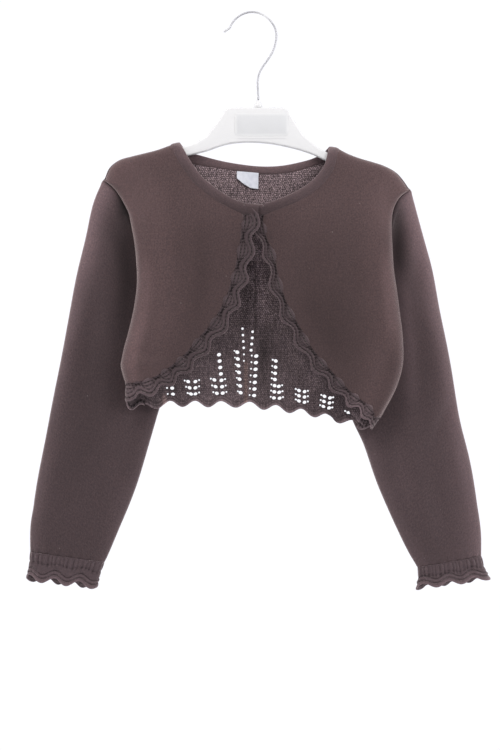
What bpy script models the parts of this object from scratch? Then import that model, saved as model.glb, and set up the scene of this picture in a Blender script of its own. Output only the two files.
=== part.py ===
"""Cropped cardigan with wavy front trims and gathered cuffs, hung on a shaped hanger.

Units are metres in the mesh and millimetres in the tables below. The origin is the inside top of the
hook, X runs to the right as seen from the front, -Y is the front and Z is up. Left and right are as seen
from the front.
"""
import math

import bmesh
import bpy
import numpy as np

# ---------------------------------------------------------------- named sizes, mm
MM = 0.001
WALL = 1.6            # thickness of the knitted cloth
GAP = 0.35            # space left between pieces at a seam
BAND_GAP = 0.75       # the same at the neckband's seam
TRIM_GAP = 0.65       # the same at a trim's seam
SIDE_GAP = 0.8        # the same at a side seam
SPLIT = 0.45          # the shoulder seam's edges stand this far either side of the middle
LAP = 2.1             # a sleeve's edge lies this far outside the armhole edge
FOLD_SHARE = 0.008    # a sleeve turns over at its folds within this share of its width
# each half of a sleeve stops this far short of the outer and the inner fold: at the armhole, where the
# halves meet at a narrow angle, at the next section, and below
FOLD_GAPS = {
    -1: ((2.2, 4.4), (1.0, 2.0), (0.42, 0.42)),
    1: ((2.2, 10.5), (1.0, 4.2), (0.42, 0.42)),
}
CUFF_GAP = 0.5        # space left between a sleeve and its cuff
LENGTH_AT = {1: 6}    # the right sleeve's halves are made in two lengths, which meet at this ring
LENGTH_GAP = 0.45     # space left between two lengths of a sleeve
FRONT_Y = -15.0       # depth of the front panels
BACK_Y = 9.0          # depth of the back panel
RETURN_Y = 5.0        # depth of a front panel where it has turned round the side
SEAM_Y = 7.0          # depth of the side seams
SHOULDER_R = 7.0      # rounding of the cloth over the hanger's arm
BAND_W = 9.0          # width of the neckband
TRIM_WAVE = 25.5      # length of one wave along a trim
TRIM_SWING = 2.9      # how far a trim's edge swings each way
RIDGE = 0.7           # height of a trim's raised ridges
HEM_SWING = 3.2       # how far the scalloped hem swings each way
ROW_PITCH = 6.3       # distance between rows of eyelets
CUFF_PLEATS = 26      # gathers round one cuff
SCALLOPS = 6          # scallops round one cuff
# how a cuff hangs: its height at the outer and the inner end, how far each end leans in along the cuff,
# how far it flares, how far its scalloped edge swings each way, and where in a scallop it starts, radians
CUFF = {
    -1: (23.0, 22.8, 1.6, -5.4, 1.0, 3.1, 4.34),
    1: (19.0, 17.0, -1.6, 1.6, 2.6, 2.4, 1.13),
}
HANGER_T = 9.6        # thickness of the hanger
PLATE_T = 1.0         # thickness of the grey plate on it
LABEL_T = 1.0         # thickness of the neck label
OVERLAP_Y = 1.9       # each front moves this far in depth where the two overlap
WIRE = 1.9            # diameter of the hook's wire

FRONT_ROWS = (0.0, 0.006, 0.018, 0.04, 0.075, 0.12, 0.18, 0.25, 0.32, 0.39, 0.46, 0.53, 0.6, 0.68, 0.76,
              0.84, 0.92, 1.0)
CORNER_ROW = 8        # the row of FRONT_ROWS that is moved to the neckband's end

# ---------------------------------------------------------------- outlines: x, z in mm
SHOULDER = {
    -1: ((-80.0, -132.5), (-95.5, -138.0), (-107.5, -141.0), (-119.5, -144.0), (-131.5, -147.5),
         (-141.5, -155.0), (-147.5, -167.0)),
    1: ((86.5, -136.3), (96.5, -141.5), (108.5, -146.0), (120.5, -149.5), (132.5, -153.5),
        (144.5, -161.0), (151.0, -169.0), (155.1, -178.0)),
}
FRONT_EDGE = {
    -1: ((-80.0, -132.5), (-71.2, -149.5), (-57.1, -169.3), (-38.4, -185.4), (-19.7, -196.5),
         (-9.5, -201.6), (-10.6, -222.0), (-16.7, -256.7), (-25.8, -285.5), (-39.5, -309.9),
         (-50.2, -322.3), (-65.4, -340.1), (-79.0, -352.1), (-89.9, -360.0), (-104.8, -367.6)),
    1: ((86.5, -136.3), (79.6, -159.1), (64.8, -176.5), (43.1, -190.1), (22.6, -198.1),
        (13.4, -202.1), (14.3, -223.0), (21.9, -241.8), (26.5, -264.2), (35.5, -291.5),
        (47.8, -314.3), (61.5, -337.2), (81.2, -360.0), (97.8, -377.9), (114.7, -390.8)),
}
FRONT_CORNER = 5      # the row of FRONT_EDGE where the neckband ends and the trim begins
# x, z of the side fold, radius of the turn, angle turned, then how far the panel goes on behind
SIDE = {
    -1: ((-147.5, -167.0, 2.0, 90, 0.0), (-139.2, -173.4, 9.0, 90, 0.0), (-133.2, -180.4, 13.0, 90, 0.0),
         (-127.2, -190.4, 9.0, 90, 0.0), (-122.2, -200.4, 7.0, 92, 0.0), (-119.2, -214.3, 7.0, 112, 0.0),
         (-116.2, -230.3, 7.0, 160, 0.0), (-114.2, -246.3, 7.0, 180, 1.0), (-113.2, -272.2, 8.0, 180, 8.0),
         (-115.6, -290.0, 9.0, 180, 16.0), (-122.2, -319.1, 10.0, 180, 20.0),
         (-127.9, -341.0, 10.0, 180, 19.0), (-129.6, -351.0, 10.0, 180, 17.0),
         (-125.4, -370.0, 9.0, 180, 9.0)),
    1: ((155.1, -178.0, 2.0, 90, 0.0), (148.7, -183.4, 7.0, 90, 0.0), (143.7, -190.9, 8.0, 90, 0.0),
        (140.7, -199.4, 7.0, 92, 0.0), (139.5, -209.3, 7.0, 105, 0.0), (139.7, -227.3, 7.0, 150, 0.0),
        (141.2, -256.2, 8.0, 180, 4.0), (145.2, -282.2, 9.0, 180, 20.0), (147.5, -299.0, 10.0, 180, 34.0),
        (150.5, -325.0, 10.0, 180, 36.0), (150.5, -350.0, 10.0, 180, 33.0), (143.2, -376.0, 9.0, 180, 24.0),
        (135.2, -391.9, 8.0, 180, 16.0), (128.5, -403.9, 7.0, 180, 9.0)),
}
UNDERARM_Z = {-1: -290.0, 1: -299.0}
NECK_EDGE = {
    -1: ((-71.5, -130.3), (-63.8, -144.3), (-50.7, -163.2), (-33.5, -178.0), (-16.4, -188.2), (-7.0, -191.6)),
    1: ((77.5, -134.5), (72.2, -154.1), (59.5, -169.3), (39.2, -182.0), (20.3, -189.6), (11.0, -192.2)),
}
BAND_END = {-1: (6.8, -201.9), 1: (-2.6, -203.4)}
BACK_NECK_EDGE = ((-71.5, -130.3), (-64.5, -138.0), (-51.3, -142.0), (-29.0, -147.8), (-10.5, -151.0),
                  (8.5, -153.0), (27.6, -152.6), (47.0, -149.2), (62.3, -144.8), (70.8, -140.5),
                  (77.5, -134.5))
BACK_NECK = ((-80.0, -132.5), (-69.7, -144.7), (-55.1, -150.4), (-38.6, -153.2), (-19.8, -156.0),
             (-5.5, -157.8), (8.5, -159.3), (23.6, -159.5), (37.6, -158.4), (57.7, -153.2),
             (73.8, -147.2), (86.5, -136.3))
# x, z, depth of the back panel's armhole and side edges
BACK_SIDE = {
    -1: ((-147.5, -167.0, 0.8), (-139.0, -174.0, 5.0), (-133.0, -181.0, 7.0), (-126.0, -190.5, 8.5),
         (-119.5, -201.0, 9.0), (-113.5, -214.0, 9.5), (-106.0, -230.0, 10.0), (-99.0, -246.0, 10.0),
         (-91.5, -266.0, 10.0), (-86.5, -283.0, 9.5), (-89.0, -292.0, 7.5)),
    1: ((155.1, -178.0, 0.8), (148.0, -184.0, 5.0), (142.5, -191.5, 7.0), (138.0, -200.0, 8.5),
        (134.5, -210.0, 9.0), (129.0, -227.0, 9.5), (119.0, -246.0, 10.0), (107.5, -266.0, 10.0),
        (100.0, -285.0, 10.0), (99.0, -295.0, 9.0), (100.6, -301.0, 7.5)),
}
# hem of the back: x, z of its mean line
HEM_PEAKS = (-134.0, -108.0, -82.0, -56.5, -30.7, -1.1, 24.9, 49.9, 73.5, 98.0, 122.0)
HEM_END = {-1: (-106.6, -396.0), 1: (104.6, -419.0)}
HEM = ((-112.0, -394.5), (-78.0, -390.5), (-45.0, -391.0), (-4.0, -391.5), (36.0, -396.5),
       (62.0, -401.0), (86.0, -407.0), (103.0, -411.5), (118.0, -417.0))
# x of the two columns of each group of eyelets, and the rows in each
LACE = ((-86.0, -79.8, 2, 2), (-63.2, -57.0, 3, 3), (-36.2, -30.0, 3, 7), (-10.8, 2.4, 11, 11),
        (23.7, 29.9, 7, 3), (49.8, 56.2, 3, 3), (73.3, 79.5, 3, 3), (95.6, 99.6, 0, 1))
HALF_CELL = 3.1       # half the width of the cell an eyelet is cut in
# distance along a trim of each place where its edge swings out, from the neckband
CRESTS = {
    -1: (-18.0, 10.0, 40.0, 71.0, 98.0, 125.0, 151.0, 175.0, 198.0, 222.0, 247.0, 272.0, 297.0),
    1: (-6.0, 22.0, 48.0, 77.0, 104.0, 132.0, 159.0, 187.0, 213.0, 239.0, 265.0, 291.0),
}
EYELET_SHAPE = ((0.2, 0.2), (0.8, 0.2), (0.8, 0.8), (0.2, 0.8))     # corners of an eyelet in its cell
TRIM_END = {-1: (0.0, -1.0), 1: (-0.45, -0.9)}     # way a trim runs down from its seam behind the side
# distance along a trim, its mean width
TRIM_WIDTH = {
    -1: ((0.0, 15.2), (160.0, 15.2), (200.0, 14.0), (222.0, 15.0), (238.0, 24.0), (300.0, 24.0)),
    1: ((0.0, 9.0), (60.0, 8.5), (110.0, 10.0), (160.0, 11.5), (215.0, 12.0), (240.0, 13.5), (300.0, 14.0)),
}
# outer x, z, inner x, z, outer depth, inner depth, half thickness of a sleeve's sections
SLEEVE = {
    -1: ((-156.7, -190.8, -82.2, -304.5, 4.0, 21.0, 7.0),
         (-165.9, -224.7, -79.2, -321.6, 7.5, 22.5, 8.5),
         (-175.1, -261.6, -81.2, -344.8, 11.0, 23.0, 10.0),
         (-183.3, -304.7, -86.3, -372.1, 13.5, 23.5, 10.5),
         (-192.5, -353.0, -95.3, -403.4, 15.5, 23.5, 10.5),
         (-202.6, -403.2, -103.3, -430.5, 14.5, 20.5, 10.5),
         (-211.6, -451.5, -118.8, -477.8, 13.5, 16.5, 10.5),
         (-218.2, -491.7, -134.3, -516.0, 13.0, 15.0, 10.0),
         (-222.2, -523.9, -147.4, -546.1, 12.0, 13.0, 8.5),
         (-221.7, -540.0, -149.8, -550.0, 12.0, 12.0, 8.0)),
    1: ((161.2, -193.8, 92.3, -312.6, 10.0, 22.0, 6.5),
        (169.9, -226.7, 88.3, -329.7, 11.5, 23.5, 8.0),
        (179.2, -258.6, 88.3, -352.9, 13.7, 24.2, 9.5),
        (187.9, -300.7, 93.4, -379.2, 15.0, 24.5, 10.3),
        (198.1, -348.9, 102.4, -407.4, 16.0, 23.5, 10.5),
        (207.1, -399.2, 113.9, -432.5, 14.5, 20.5, 10.5),
        (217.7, -447.5, 129.4, -477.8, 13.5, 16.5, 10.5),
        (225.2, -489.7, 147.4, -518.0, 13.0, 15.0, 10.0),
        (229.3, -523.9, 161.5, -546.1, 12.0, 13.0, 8.5),
        (229.3, -544.6, 167.7, -555.3, 12.0, 12.0, 8.0)),
}
LABEL = ((-14.7, -157.6), (7.1, -159.4), (6.7, -175.7), (-1.3, -174.5), (-8.5, -170.0), (-13.9, -165.4))
HANGER_TOP = ((-129.0, -155.5), (-126.0, -151.7), (-119.5, -148.4), (-107.5, -145.2), (-95.5, -142.2),
              (-83.5, -139.2), (-76.0, -137.2), (-68.3, -133.9), (-57.9, -130.7), (-45.7, -123.8),
              (-34.0, -109.0), (-26.6, -97.0), (-22.5, -94.8), (32.5, -94.8), (36.8, -97.0), (44.0, -110.0),
              (51.3, -121.5), (65.9, -134.2), (75.1, -139.6), (84.5, -142.6), (96.5, -146.0),
              (108.5, -150.3), (120.5, -154.2), (131.5, -158.2), (136.5, -163.5))
HANGER_LOW = ((137.5, -168.0), (118.5, -162.5), (103.5, -157.5), (88.5, -152.5), (74.3, -147.9),
              (62.1, -142.1), (37.5, -134.5), (8.5, -129.9), (-23.5, -131.4), (-46.5, -138.7),
              (-64.1, -142.9), (-76.5, -146.0), (-91.5, -150.0), (-106.5, -154.0), (-121.5, -158.0),
              (-129.5, -160.2))
PLATE = (-16.7, -123.5, 36.8, -100.6)
HOOK_LINE = ((-27.8, -18.9), (-21.4, -14.4), (-19.9, -11.2), (-11.5, -2.6), (0.0, 0.95), (11.0, -1.6),
             (19.0, -8.0), (24.1, -17.0), (24.8, -25.0), (22.6, -35.0), (6.9, -63.5), (6.8, -87.0))


# ---------------------------------------------------------------- curves and surfaces
def smooth(table, ends_at):
    """Points on a smooth line through the rows of a table, at the given shares of its length."""
    rows = np.array(table, dtype=float)
    step = np.linalg.norm(np.diff(rows[:, :2], axis=0), axis=1)
    knot = np.concatenate([[0.0], np.cumsum(step)])
    slope = np.gradient(rows, knot, axis=0)
    fine_t = np.linspace(0.0, knot[-1], 40 * (len(rows) - 1) + 1)
    place = np.clip(np.searchsorted(knot, fine_t, side="right") - 1, 0, len(rows) - 2)
    width = knot[place + 1] - knot[place]
    t = ((fine_t - knot[place]) / width)[:, None]
    w = width[:, None]
    fine = ((2 * t ** 3 - 3 * t ** 2 + 1) * rows[place] + (t ** 3 - 2 * t ** 2 + t) * w * slope[place]
            + (3 * t ** 2 - 2 * t ** 3) * rows[place + 1] + (t ** 3 - t ** 2) * w * slope[place + 1])
    return along(fine, ends_at)


def along(line, shares):
    """Points on a straight-sided line at the given shares of its length in its first columns."""
    line = np.array(line, dtype=float)
    step = np.linalg.norm(np.diff(line[:, :min(3, line.shape[1])], axis=0), axis=1)
    far = np.concatenate([[0.0], np.cumsum(step)])
    want = np.asarray(shares) * far[-1]
    return np.stack([np.interp(want, far, line[:, k]) for k in range(line.shape[1])], axis=1)


def ease(x):
    x = np.clip(x, 0.0, 1.0)
    return x * x * (3.0 - 2.0 * x)


def over_arm(drop):
    """How far the cloth stands off the middle plane at a given drop below the shoulder line, 0 to 1."""
    left = np.clip(1.0 - drop / SHOULDER_R, 0.0, 1.0)
    return np.sqrt(1.0 - left * left)


def front_depth(drop):
    near = SHOULDER_R * over_arm(drop)
    return -(near + (-FRONT_Y - SHOULDER_R) * ease((drop - 4.0) / 90.0)) - SPLIT


def front_rows(side):
    """Shares down the front panel's rows, with one row set where the neckband ends."""
    fine = smooth(FRONT_EDGE[side], np.linspace(0.0, 1.0, 801))
    corner = np.array(FRONT_EDGE[side][FRONT_CORNER])
    share = np.argmin(np.linalg.norm(fine - corner, axis=1)) / 800.0
    rows = np.array(FRONT_ROWS)
    rows[CORNER_ROW] = share
    return rows


def overlap(side, x, z):
    """The left front lies over the right one at the top of the opening."""
    near = ease(1.0 - (abs(x - 2.0) - 14.0) / 34.0) * ease((z + 262.0) / 40.0)
    return side * OVERLAP_Y * near


def front_sheet(side, columns=8, turn=5, back=2):
    """Middle surface of one front panel as rows of points, from its front edge round to its side seam."""
    rows = front_rows(side)
    inner = smooth(FRONT_EDGE[side], rows)
    outer = smooth(SIDE[side], rows)
    top = smooth(SHOULDER[side], np.linspace(0.0, 1.0, columns + 1))
    end_in = inner[-1]
    end_out = outer[-1, :2]
    grid = []
    for j, v in enumerate(rows):
        x_fold, z_fold, radius, angle, behind = outer[j]
        line = []
        for i in range(columns + 1):
            u = i / columns
            low = (1 - u) * end_in + u * end_out
            p = ((1 - v) * top[i] + v * low + (1 - u) * inner[j] + u * outer[j, :2]
                 - (1 - u) * (1 - v) * top[0] - u * (1 - v) * top[-1]
                 - (1 - u) * v * end_in - u * v * end_out)
            line.append(p)
        line = np.array(line)
        grid.append((line, x_fold, z_fold, radius, angle, behind))
    drop = np.zeros(columns + 1)
    sheet = []
    for j, (line, x_fold, z_fold, radius, angle, behind) in enumerate(grid):
        if j:
            drop = drop + np.linalg.norm(line - grid[j - 1][0], axis=1)
        depth = front_depth(drop)
        share = np.linspace(0.0, 1.0, columns + 1)
        start_x = x_fold - side * radius
        face_x = line[:, 0] + (start_x - line[-1, 0]) * share ** 3
        row = [(face_x[i], depth[i] + overlap(side, face_x[i], line[i, 1]), line[i, 1])
               for i in range(columns + 1)]
        y_front = depth[-1]
        y_back = RETURN_Y * over_arm(drop[-1])
        middle = 0.5 * (y_front + y_back)
        half = 0.5 * (y_back - y_front)
        for k in range(1, turn + 1):
            a = math.radians(angle) * k / turn
            row.append((start_x + side * radius * math.sin(a), middle - half * math.cos(a), z_fold))
        last = np.array(row[-1])
        for k in range(1, back + 1):
            reach = max(behind, 0.6) * k / back
            lean = (SEAM_Y - RETURN_Y) * min(1.0, behind / 12.0) * k / back
            row.append((last[0] - side * reach * math.cos(math.radians(max(0, 180 - angle))),
                        last[1] + lean + reach * math.sin(math.radians(180 - angle)) * 0.5, last[2]))
        sheet.append(row)
    return np.array(sheet)


def back_columns():
    """x of every column line along the hem, and how many rows of eyelets stand in each cell."""
    lines = [HEM_END[-1][0], -97.5]
    cells = {}
    for i, (left, right, left_rows, right_rows) in enumerate(LACE):
        for middle, rows in ((left, left_rows), (right, right_rows)):
            if middle - HALF_CELL > lines[-1] + 1.5:
                lines.append(middle - HALF_CELL)
            cells[len(lines) - 1] = rows
            lines.append(middle + HALF_CELL)
        if i + 2 < len(LACE):
            after = LACE[i + 1][0] - HALF_CELL
            lines.append(0.5 * (right + HALF_CELL + after))
    lines[-1] = HEM_END[1][0]
    return np.array(lines), cells


def seam_line(side):
    """The back panel's edge: down the armhole, then down the side seam beside the front panel."""
    arm = smooth(BACK_SIDE[side], np.linspace(0.0, 1.0, 24))
    front = front_sheet(side)[:, -1]
    seam = [(p[0] - side * SIDE_GAP, p[2], p[1]) for p in front if p[2] < UNDERARM_Z[side] - 6.0]
    low = seam[-1]
    foot = HEM_END[side]
    rest = [(low[0] + (foot[0] - low[0]) * t, low[1] + (foot[1] - low[1]) * t, low[2])
            for t in (0.5, 1.0, 1.5)]
    return np.array([tuple(p) for p in arm] + seam + rest)


def at_height(line, z):
    """x and depth of a falling line of x, z, depth at a height."""
    order = np.argsort(line[:, 1])
    return np.interp(z, line[order, 1], line[order, 0]), np.interp(z, line[order, 1], line[order, 2])


def hem_wave(x):
    """Height of the scalloped hem over its mean line: it rises over each group of eyelets."""
    middles = np.array(HEM_PEAKS)
    k = np.clip(np.searchsorted(middles, x) - 1, 0, len(middles) - 2)
    t = (x - middles[k]) / (middles[k + 1] - middles[k])
    return HEM_SWING * math.cos(2.0 * math.pi * t)


def back_sheet(lace_rows=12, upper=(0.0, 0.012, 0.035, 0.07, 0.13, 0.22, 0.34, 0.48, 0.65, 0.82)):
    """Middle surface of the back panel, top row first, and the cells that hold an eyelet."""
    bottom, cells = back_columns()
    count = len(bottom)
    share = (bottom - bottom[0]) / (bottom[-1] - bottom[0])
    edge = {side: seam_line(side) for side in (-1, 1)}
    low_rows = []
    for r in range(lace_rows, -1, -1):
        row = []
        for c in range(count):
            x = bottom[c]
            z = np.interp(x, *np.array(HEM).T)
            z = z + (7.0 + ROW_PITCH * (r - 1) if r else hem_wave(x) if 0 < c < count - 1 else 0.0)
            side = -1 if c < count // 2 else 1
            shift = at_height(edge[side], z)[0] - HEM_END[side][0]
            row.append((x + shift * (x / HEM_END[side][0]) ** 4, z))
        low_rows.append(row)
    first = np.array(low_rows[0])
    arm = 6
    left = smooth(SHOULDER[-1], np.linspace(1.0, 0.0, arm + 1))
    right = smooth(SHOULDER[1], np.linspace(0.0, 1.0, arm + 1))
    neck_shares = np.linspace(0.0, 1.0, count - 2 * arm)
    neck_shares[1:3] = (0.022, 0.06)
    neck_shares[-3:-1] = (0.94, 0.978)
    neck = smooth(BACK_NECK, neck_shares)
    top = np.concatenate([left[:-1], neck, right[1:]])
    side_lines = {}
    for side, corner in ((-1, 0), (1, -1)):
        line = edge[side]
        stop = int(np.argmin(np.abs(line[:, 1] - first[corner][1])))
        cut = line[:stop + 1, :2].copy()
        cut[-1] = first[corner]
        side_lines[side] = along(cut, upper)
    high_rows = []
    for j, v in enumerate(upper):
        row = []
        for c in range(count):
            u = share[c]
            p = ((1 - v) * top[c] + v * first[c] + (1 - u) * side_lines[-1][j] + u * side_lines[1][j]
                 - (1 - u) * (1 - v) * top[0] - u * (1 - v) * top[-1]
                 - (1 - u) * v * first[0] - u * v * first[-1])
            row.append(tuple(p))
        high_rows.append(row)
    flat = np.array(high_rows + low_rows)
    brow = np.array([(x, z) for x, z in np.concatenate([left, right])])
    sheet = np.zeros(flat.shape[:2] + (3,))
    for j in range(flat.shape[0]):
        for c in range(count):
            x, z = flat[j, c]
            drop = np.interp(x, brow[:, 0], brow[:, 1]) - z
            y = SPLIT + SHOULDER_R * over_arm(drop) + (BACK_Y - SHOULDER_R) * ease((drop - 4.0) / 90.0)
            for side in (-1, 1):
                ex, ey = at_height(edge[side], z)
                near = ease(1.0 - abs(x - ex) / 26.0)
                y = y + (ey - y) * near
            sheet[j, c] = (x, y, z)
    holes = set()
    base = flat.shape[0] - 2
    for c, rows in cells.items():
        for r in range(rows):
            holes.add((base - 1 - r, c))
    return sheet, holes


def ring_shape(share, flatness=2.6):
    """Depth of a flattened tube's section at a share of its width."""
    return (1.0 - np.abs(2.0 * share - 1.0) ** flatness) ** (1.0 / flatness)


def sleeve_rings(side, half_points=12):
    """Rings of a sleeve's middle surface from the armhole down to the cuff seam."""
    f = np.linspace(0.0, 1.0, half_points + 1)
    share = 0.35 * f + 0.65 * 0.5 * (1.0 - np.cos(math.pi * f))
    share = np.sort(np.append(share, (FOLD_SHARE, 1.0 - FOLD_SHARE)))
    sheet = front_sheet(side)
    outer = sheet[:, -1]
    front = np.array([p for p in outer if p[2] >= UNDERARM_Z[side] + 3.0])
    lap = front.copy()
    for k in range(len(front)):
        turned = ease((SHOULDER[side][-1][1] - front[k][2]) / 80.0)
        push = np.array([side * (1.0 - turned), 0.0, -0.3 * (1.0 - turned)])
        push = push + np.array([0.0, 1.0, 0.0]) * turned
        lap[k] = front[k] + LAP * push / np.linalg.norm(push)
    back_edge = seam_line(side)
    back_edge = np.array([(x, y, z) for x, z, y in back_edge if z >= UNDERARM_Z[side] + 1.0])
    tip = np.array([[0.5 * (lap[-1][0] + back_edge[-1][0]), 0.5 * (lap[-1][1] + back_edge[-1][1]) + 1.6,
                     UNDERARM_Z[side] - 1.5]])
    front_line = along(np.concatenate([lap, tip]), share)
    back_lap = back_edge.copy()
    for k in range(len(back_lap)):
        turned = ease((SHOULDER[side][-1][1] - back_edge[k][2]) / 14.0)
        push = np.array([side * (1.0 - turned), 0.15, -0.3 * (1.0 - turned)])
        push = push + np.array([0.0, 1.0, 0.0]) * turned
        back_lap[k] = back_edge[k] + LAP * push / np.linalg.norm(push)
    back_line = along(np.concatenate([back_lap, tip]), share)
    rings = [np.concatenate([front_line, back_line[-2:0:-1]])]
    for ox, oz, ix, iz, oy, iy, half in SLEEVE[side]:
        ring = []
        for s in share:
            ring.append((ox + (ix - ox) * s, oy + (iy - oy) * s - half * ring_shape(s), oz + (iz - oz) * s))
        for s in share[-2:0:-1]:
            ring.append((ox + (ix - ox) * s, oy + (iy - oy) * s + half * ring_shape(s), oz + (iz - oz) * s))
        rings.append(np.array(ring))
    return rings


def sleeve_halves(side):
    """A sleeve's front and back halves, which face each other along its two long folds."""
    rings = np.array(sleeve_rings(side))
    turn = rings.shape[1] // 2
    halves = []
    for sheet, order in ((rings[:, :turn + 1], 1), (np.concatenate([rings[:, turn:], rings[:, :1]], axis=1), -1)):
        half = []
        for j, line in enumerate(sheet):
            far = np.concatenate([[0.0], np.cumsum(np.linalg.norm(np.diff(line, axis=0), axis=1))])
            start, stop = FOLD_GAPS[side][min(j, 2)][::order]
            half.append(along(line, (start + far * (1.0 - (start + stop) / far[-1])) / far[-1]))
        halves.append(np.array(half))
    return halves


def sleeve_lengths(side):
    """A sleeve's halves by name, each in an upper and a lower length where that side has two."""
    parts = {}
    for face, half in zip(("front", "back"), sleeve_halves(side)):
        parts[face] = half
        if side in LENGTH_AT:
            ring = LENGTH_AT[side]
            lower = half[ring:].copy()
            step = lower[1] - lower[0]
            lower[0] = lower[0] + step * LENGTH_GAP / np.linalg.norm(step, axis=1)[:, None]
            parts[face] = half[:ring + 1]
            parts[face + "_low"] = lower
    return parts


def trim_path(side):
    """The edge a trim is sewn to: down the front from the neckband, then round the side."""
    sheet = front_sheet(side)
    return np.concatenate([sheet[CORNER_ROW:, 0], sheet[-1, 1:]]), sheet.shape[0] - CORNER_ROW + 7


def trim_sheet(side, across=6):
    """Middle surface of one wavy trim, the sewn edge first, and the ridges raised on its outside."""
    path, turn_at = trim_path(side)
    step = np.linalg.norm(np.diff(path, axis=0), axis=1)
    far = np.concatenate([[0.0], np.cumsum(step)])
    places = [0.0]
    for start, length in zip(far[:-1], step):
        parts = max(1, int(round(length / (TRIM_WAVE / 4.0))))
        places += [start + length * (k + 1) / parts for k in range(parts)]
    shares = np.array(places) / far[-1]
    count = len(shares) - 1
    line = along(path, shares)
    fold_share = far[turn_at] / far[-1]
    tangent = np.gradient(line[:, [0, 2]], shares * far[-1], axis=0)
    tangent = tangent / np.maximum(np.linalg.norm(tangent, axis=1), 1e-6)[:, None]
    out = np.stack([-tangent[:, 1] * side, tangent[:, 0] * side], axis=1)
    out = -out
    end = np.array(TRIM_END[side][:2])
    blend = ease((shares - fold_share + 0.05) / 0.06)[:, None]
    out = out * (1 - blend) + end * blend
    for _ in range(3):
        inner = out.copy()
        inner[1:-1] = (out[:-2] + 2 * out[1:-1] + out[2:]) / 4.0
        out = inner
    out = out / np.linalg.norm(out, axis=1)[:, None]
    broad = np.interp(shares * far[-1], *np.array(TRIM_WIDTH[side]).T)
    turns = np.interp(shares * far[-1], CRESTS[side], np.arange(len(CRESTS[side])))
    rows = []
    lift = []
    for m in range(across + 1):
        part = m / across
        swing = TRIM_SWING * np.cos(2.0 * math.pi * turns)
        reach = TRIM_GAP + part * (broad + swing)
        rows.append(np.stack([line[:, 0] + out[:, 0] * reach, line[:, 1] - 0.6 * part ** 2,
                              line[:, 2] + out[:, 1] * reach], axis=1))
        lift.append(np.full(count + 1, RIDGE if m % 2 else 0.0))
    return np.array(rows), np.array(lift)


def band_sheet(across=2):
    """Middle surface of the neckband, from the left front round the back to the right front."""
    path = []
    edge = []
    back, holes = back_sheet()
    arm = 6
    count = back.shape[1]
    for side in (-1, 1):
        sheet = front_sheet(side)
        line = sheet[:CORNER_ROW + 1, 0]
        step = np.linalg.norm(np.diff(line, axis=0), axis=1)
        share = np.concatenate([[0.0], np.cumsum(step)]) / step.sum()
        rim = smooth(NECK_EDGE[side], share)
        rim = np.stack([rim[:, 0], line[:, 1], rim[:, 1]], axis=1)
        end_x, end_z = BAND_END[side]
        for part in (0.5, 1.0):
            base = line[-1] if part < 1.0 else corner
            if part < 1.0:
                corner = base.copy()
            x = corner[0] + (end_x - corner[0]) * part
            z = corner[2] + (end_z - corner[2]) * part
            line = np.concatenate([line, [[x, corner[1], z]]])
            rim = np.concatenate([rim, [[x, corner[1], z + BAND_W + 1.0 - part]]])
        if side < 0:
            path.append(line[::-1])
            edge.append(rim[::-1])
            neck = back[0, arm + 1:count - arm - 1]
            step = np.linalg.norm(np.diff(back[0, arm:count - arm], axis=0), axis=1)
            share = np.cumsum(step)[:-1] / step.sum()
            rim = smooth(BACK_NECK_EDGE, share)
            path.append(neck)
            edge.append(np.stack([rim[:, 0], neck[:, 1], rim[:, 1]], axis=1))
        else:
            path.append(line)
            edge.append(rim)
    path = np.concatenate(path)
    edge = np.concatenate(edge)
    run = edge - path
    size = np.linalg.norm(run, axis=1)[:, None]
    unit = run / size
    rows = []
    for m in range(across + 1):
        part = m / across
        rows.append(path + unit * (BAND_GAP + (size - BAND_GAP) * part))
    return np.array(rows)


def cuff_rings(side, rows=4):
    """Rings of a gathered cuff: pleats below the seam, opening into a scalloped frill."""
    ox, oz, ix, iz, oy, iy, half = SLEEVE[side][-1]
    run = np.array([ix - ox, iz - oz])
    wide = np.linalg.norm(run)
    run = run / wide
    down = np.array([-run[1], run[0]])
    if down[1] > 0:
        down = -down
    outer_h, inner_h, outer_lean, inner_lean, flare, swing, start = CUFF[side]
    count = CUFF_PLEATS * 2
    fine = np.linspace(0.0, 2.0 * math.pi, 721)
    shape_x = 0.5 - 0.5 * np.sign(np.cos(fine)) * np.abs(np.cos(fine)) ** 0.75
    shape_y = -np.sign(np.sin(fine)) * np.abs(np.sin(fine)) ** 0.75
    loop = np.stack([shape_x * wide, shape_y * half], axis=1)
    even = along(loop, np.arange(count) / count)
    tangent = np.roll(even, -1, axis=0) - np.roll(even, 1, axis=0)
    tangent = tangent / np.linalg.norm(tangent, axis=1)[:, None]
    normal = np.stack([-tangent[:, 1], tangent[:, 0]], axis=1)
    middle = np.array([0.5 * wide, 0.0])
    normal = np.where(((even - middle) * normal).sum(axis=1)[:, None] < 0, -normal, normal)
    rings = []
    for m in range(rows):
        part = m / (rows - 1)
        ring = []
        for k in range(count):
            sign = 1.0 if k % 2 else -1.0
            fold = sign * (0.75 + 0.35 * part)
            px, py = even[k] + normal[k] * (fold + flare * part * part)
            inward = px / wide
            px = px + part * (outer_lean + (inner_lean - outer_lean) * inward)
            wave = swing * math.cos(2.0 * math.pi * k * SCALLOPS / count - start)
            fall = CUFF_GAP + part * (outer_h + (inner_h - outer_h) * inward + wave)
            x = ox + run[0] * px + down[0] * fall
            z = oz + run[1] * px + down[1] * fall
            ring.append((x, oy + (iy - oy) * inward + py, z))
        rings.append(np.array(ring))
    return rings


# ---------------------------------------------------------------- solids
def clear():
    for thing in list(bpy.data.objects):
        bpy.data.objects.remove(thing, do_unlink=True)


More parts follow.
